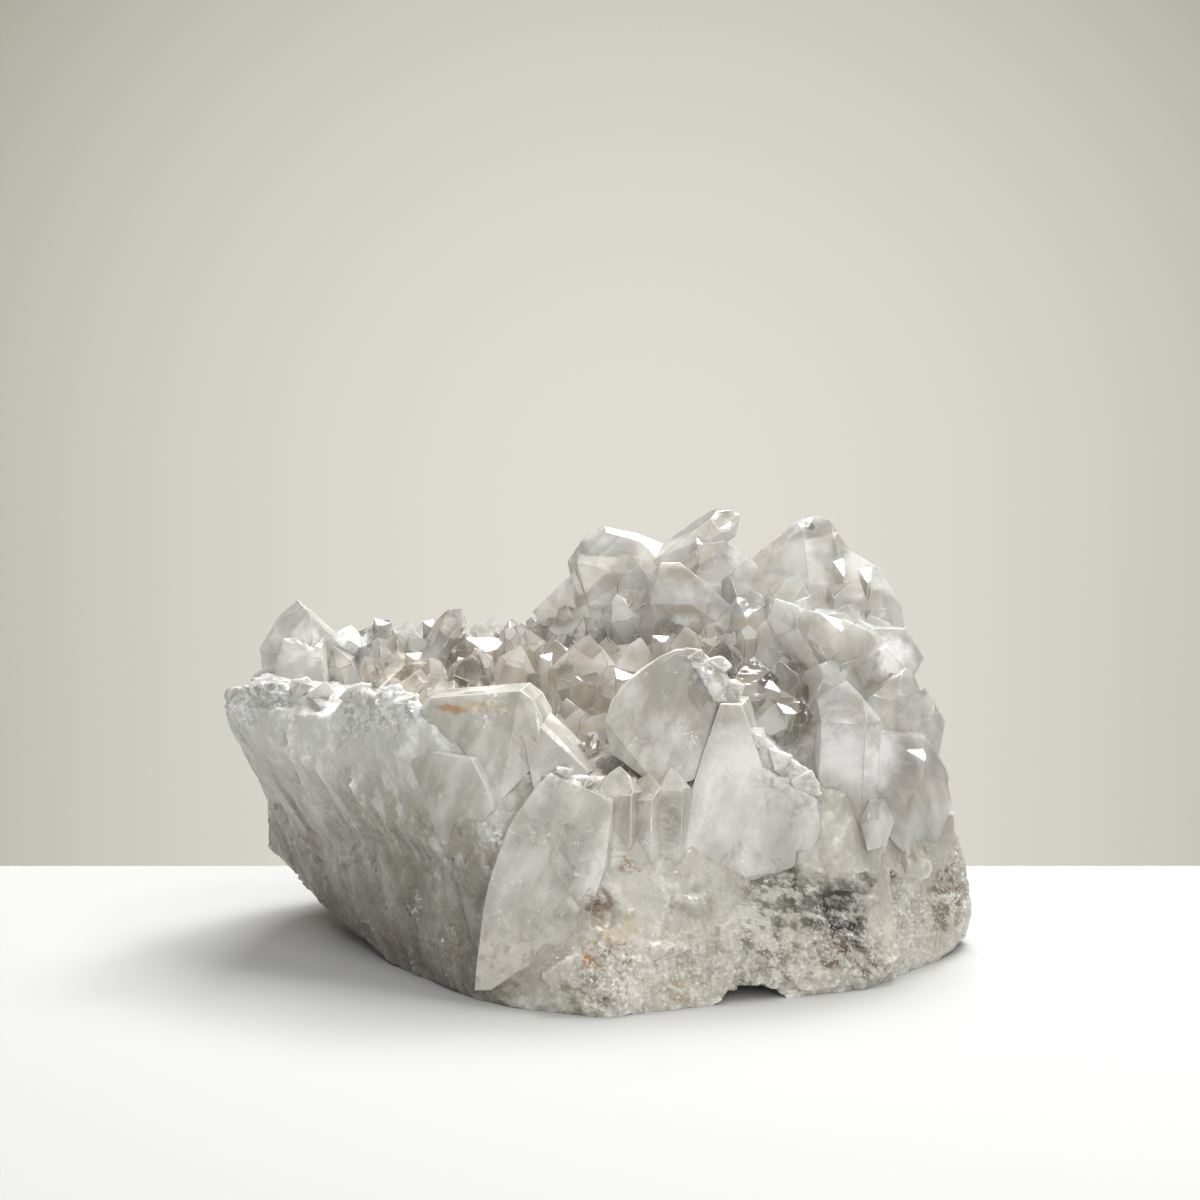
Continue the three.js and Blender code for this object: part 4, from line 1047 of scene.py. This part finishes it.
def milky_material(name, clearest, cloudiest, variety, tint, deeper, absorption):
    """Clear quartz clouded by veils: how much light goes through it where it is clearest and cloudiest."""
    n = new_material(name)
    roughened(n)
    cloud = n.noise(11, 3, 0.5, place=n.turned((20, -15, 0), (1, 1, 0.5)))
    own = n.vector("DOT_PRODUCT", n.cells(9), (0.4, 0.3, 0.3))
    milk = n.math("ADD", n.span(cloud, 0.35, 0.65, 0.0, 0.6), n.span(own, 0.3, 0.7, 0.0, variety))
    crack = n.times(cracks(n, 10, 0.25), 0.5) if cloudiest < 0.5 else 0.0
    white = 0.0
    for at, radius in MILKY:
        white = n.math("MAXIMUM", white, n.spot(at, radius, radius * 0.8))
    white = n.times(white, n.span(cloud, 0.3, 0.6, 0.75, 1.0))
    milk = n.math("MAXIMUM", milk, n.times(white, 1.3))
    milk = n.times(milk, n.span(n.spot((-71, 9, 62), 11, 8), 0, 1, 1, 0.15))
    milk = n.math("MAXIMUM", milk, crack)
    n.body = n.mix(n.span(n.noise(9, 2, 0.6), 0.45, 0.62), tint, deeper)
    n.body = n.mix(white, n.body, rgb(247, 248, 248))
    closed = n.span(white, 0, 1, 1, 0.3)
    # Tints, and painted shade in the dark corners.
    for at, reach, colour, clouding in TINTS_AND_PAINTED_SHADE:
        there = n.smear(at, reach)
        n.tint(there, 0.85, colour)
        closed = n.times(closed, n.span(there, 0, 1, 1, 1 - clouding))
    n.set(Base_Color=n.body, Roughness=0.04, IOR=QUARTZ_IOR)
    n.set(Transmission_Weight=n.times(n.span(milk, 0.0, 1.0, clearest, cloudiest), closed))
    n.milky(0.7, 4)
    growth = n.noise(1.6, 2, 0.5, place=n.turned((0, 0, 0), (0.12, 0.12, 1)))
    n.set(Normal=n.bump(growth, 0.05, normal=n.bump(n.noise(4.0, 2), 0.12)))
    inside = n.add("VolumeAbsorption", {"Color": rgb(225, 220, 211), "Density": absorption})
    n.plug(n.tree.nodes["Material Output"].inputs["Volume"], inside)
    return n.owner


def edge_material(name, tint, clear):
    """The edges of the crystals: a little frosted, and bruised white here and there; the white also paints
    bright highlights along the edges.
    """
    n = new_material(name)
    worn_and_edge_light = n.span(n.noise(6, 4, 0.6), 0.5, 0.68)
    n.set(Base_Color=n.mix(worn_and_edge_light, tint, rgb(254, 254, 253)), IOR=QUARTZ_IOR)
    n.set(Roughness=n.span(worn_and_edge_light, 0, 1, 0.08, 0.3), Transmission_Weight=n.span(worn_and_edge_light, 0, 1, clear, clear * 0.4))
    n.milky(1.0, 3)
    n.set(Normal=n.bump(n.noise(0.8, 2), 0.03))
    return n.owner


massive = massive_material()
massive_slab = slab_material()
semi = milky_material("milky_quartz", 0.76, 0.4, 0.25, rgb(250, 249, 246), rgb(236, 232, 224), 4)
glassy = milky_material("clear_quartz", 0.97, 0.6, 0.5, rgb(250, 247, 240), rgb(232, 224, 212), 5)
inner_wall = wall_material()

milky_edge = edge_material("milky_edge", rgb(245, 244, 240), 0.7)
clear_edge = edge_material("clear_edge", rgb(242, 237, 228), 0.85)
slab_edge = edge_material("slab_edge", rgb(228, 226, 219), 0.35)

for piece, materials, node, slot_name in (
    (block, [massive], "quartz_cluster", "milky_quartz"),
    (slabs, [massive_slab, slab_edge], "quartz_cluster", "milky_quartz"),
    (milky, [semi, milky_edge], "quartz_cluster", "milky_quartz"),
    (clear, [glassy, clear_edge], "quartz_cluster", "milky_quartz"),
    (crust, [inner_wall], "pocket_crystals", "clear_quartz"),
    (pocket, [glassy, clear_edge], "pocket_crystals", "clear_quartz"),
):
    for k, material in enumerate(materials):
        if k < len(piece.data.materials):
            piece.data.materials[k] = material
        else:
            piece.data.materials.append(material)
    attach(piece, "root")
    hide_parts(node)

# ---------------------------------------------------------------- stage, light and camera


def plane(name, corners):
    """A flat sheet of the stage."""
    mesh = bpy.data.meshes.new(name)
    mesh.from_pydata([tuple((Vector(c) + SHIFT) * MM) for c in corners], [], [tuple(range(len(corners)))])
    obj = bpy.data.objects.new(name, mesh)
    bpy.context.scene.collection.objects.link(obj)
    return obj


def table_material():
    """The plain white table."""
    n = new_material("table")
    n.set(Base_Color=(0.53, 0.531, 0.522, 1.0), Roughness=0.8, Specular_IOR_Level=0.1)
    return n.owner


def backdrop_material():
    """A beige sheet out of focus that glows by itself: painted light, brightest behind the piece and darker
    sideways and up. It takes no light.
    """
    n = new_material("backdrop")
    from_middle = n.vector("SUBTRACT", n.place, (Vector(BACKDROP_MIDDLE) + SHIFT) * MM)
    upper = n.vector("MAXIMUM", from_middle, (-10.0, -10.0, 0.0))
    spread = n.vector("MULTIPLY", upper, tuple(1 / (r * MM) for r in BACKDROP_REACH))
    fall = n.math("POWER", n.vector("LENGTH", spread), 2.0)
    painted_glow = n.mix(n.math("MINIMUM", fall, 1.0), rgb(223, 220, 210), rgb(170, 167, 155))
    n.set(Base_Color=(0, 0, 0, 1), Roughness=1.0, Specular_IOR_Level=0.0)
    n.set(Emission_Color=painted_glow, Emission_Strength=1.0)
    return n.owner


table = plane("table", [(-1400, -1100, 0), (1400, -1100, 0), (1400, TABLE_EDGE, 0), (-1400, TABLE_EDGE, 0)])
table.data.materials.append(table_material())
upright = ((-1500, -900), (1500, -900), (1500, 1500), (-1500, 1500))
backdrop = plane("backdrop", [(x, BACKDROP_Y, z) for x, z in upright])
backdrop.data.materials.append(backdrop_material())

scene = bpy.context.scene
world = bpy.data.worlds.new("studio")
scene.world = world


def light_room():
    """The room: bright above and to the right, dim to the left."""
    n = Nodes(world, "Generated")
    side = n.vector("DOT_PRODUCT", n.place, Vector(ROOM_BRIGHT_SIDE).normalized())
    n.set(Strength=n.span(side, *ROOM_SPAN, *ROOM_LIGHT, "LINEAR"), Color=(1.0, 0.99, 0.97, 1))


def softbox(name, place, size, power):
    """A square light that looks at the middle of the piece."""
    light = bpy.data.lights.new(name, "AREA")
    light.shape = "SQUARE"
    light.size = size * MM
    light.energy = power
    obj = bpy.data.objects.new(name, light)
    obj.location = Vector(place) * MM
    obj.rotation_euler = (Vector(SOFTBOX_AIM) - Vector(place)).to_track_quat("-Z", "Y").to_euler()
    scene.collection.objects.link(obj)


light_room()
for box in SOFTBOXES:
    softbox(*box)

lens = bpy.data.cameras.new("camera")
lens.lens = CAMERA_LENS
lens.sensor_width = 36
lens.clip_start = 0.01
lens.clip_end = 20
camera = bpy.data.objects.new("camera", lens)
camera.location = (CAMERA_PLACE + SHIFT) * MM
camera.rotation_euler = (math.pi / 2 - CAMERA_PITCH, 0, 0)
scene.collection.objects.link(camera)
scene.camera = camera
scene.view_settings.view_transform = "Standard"
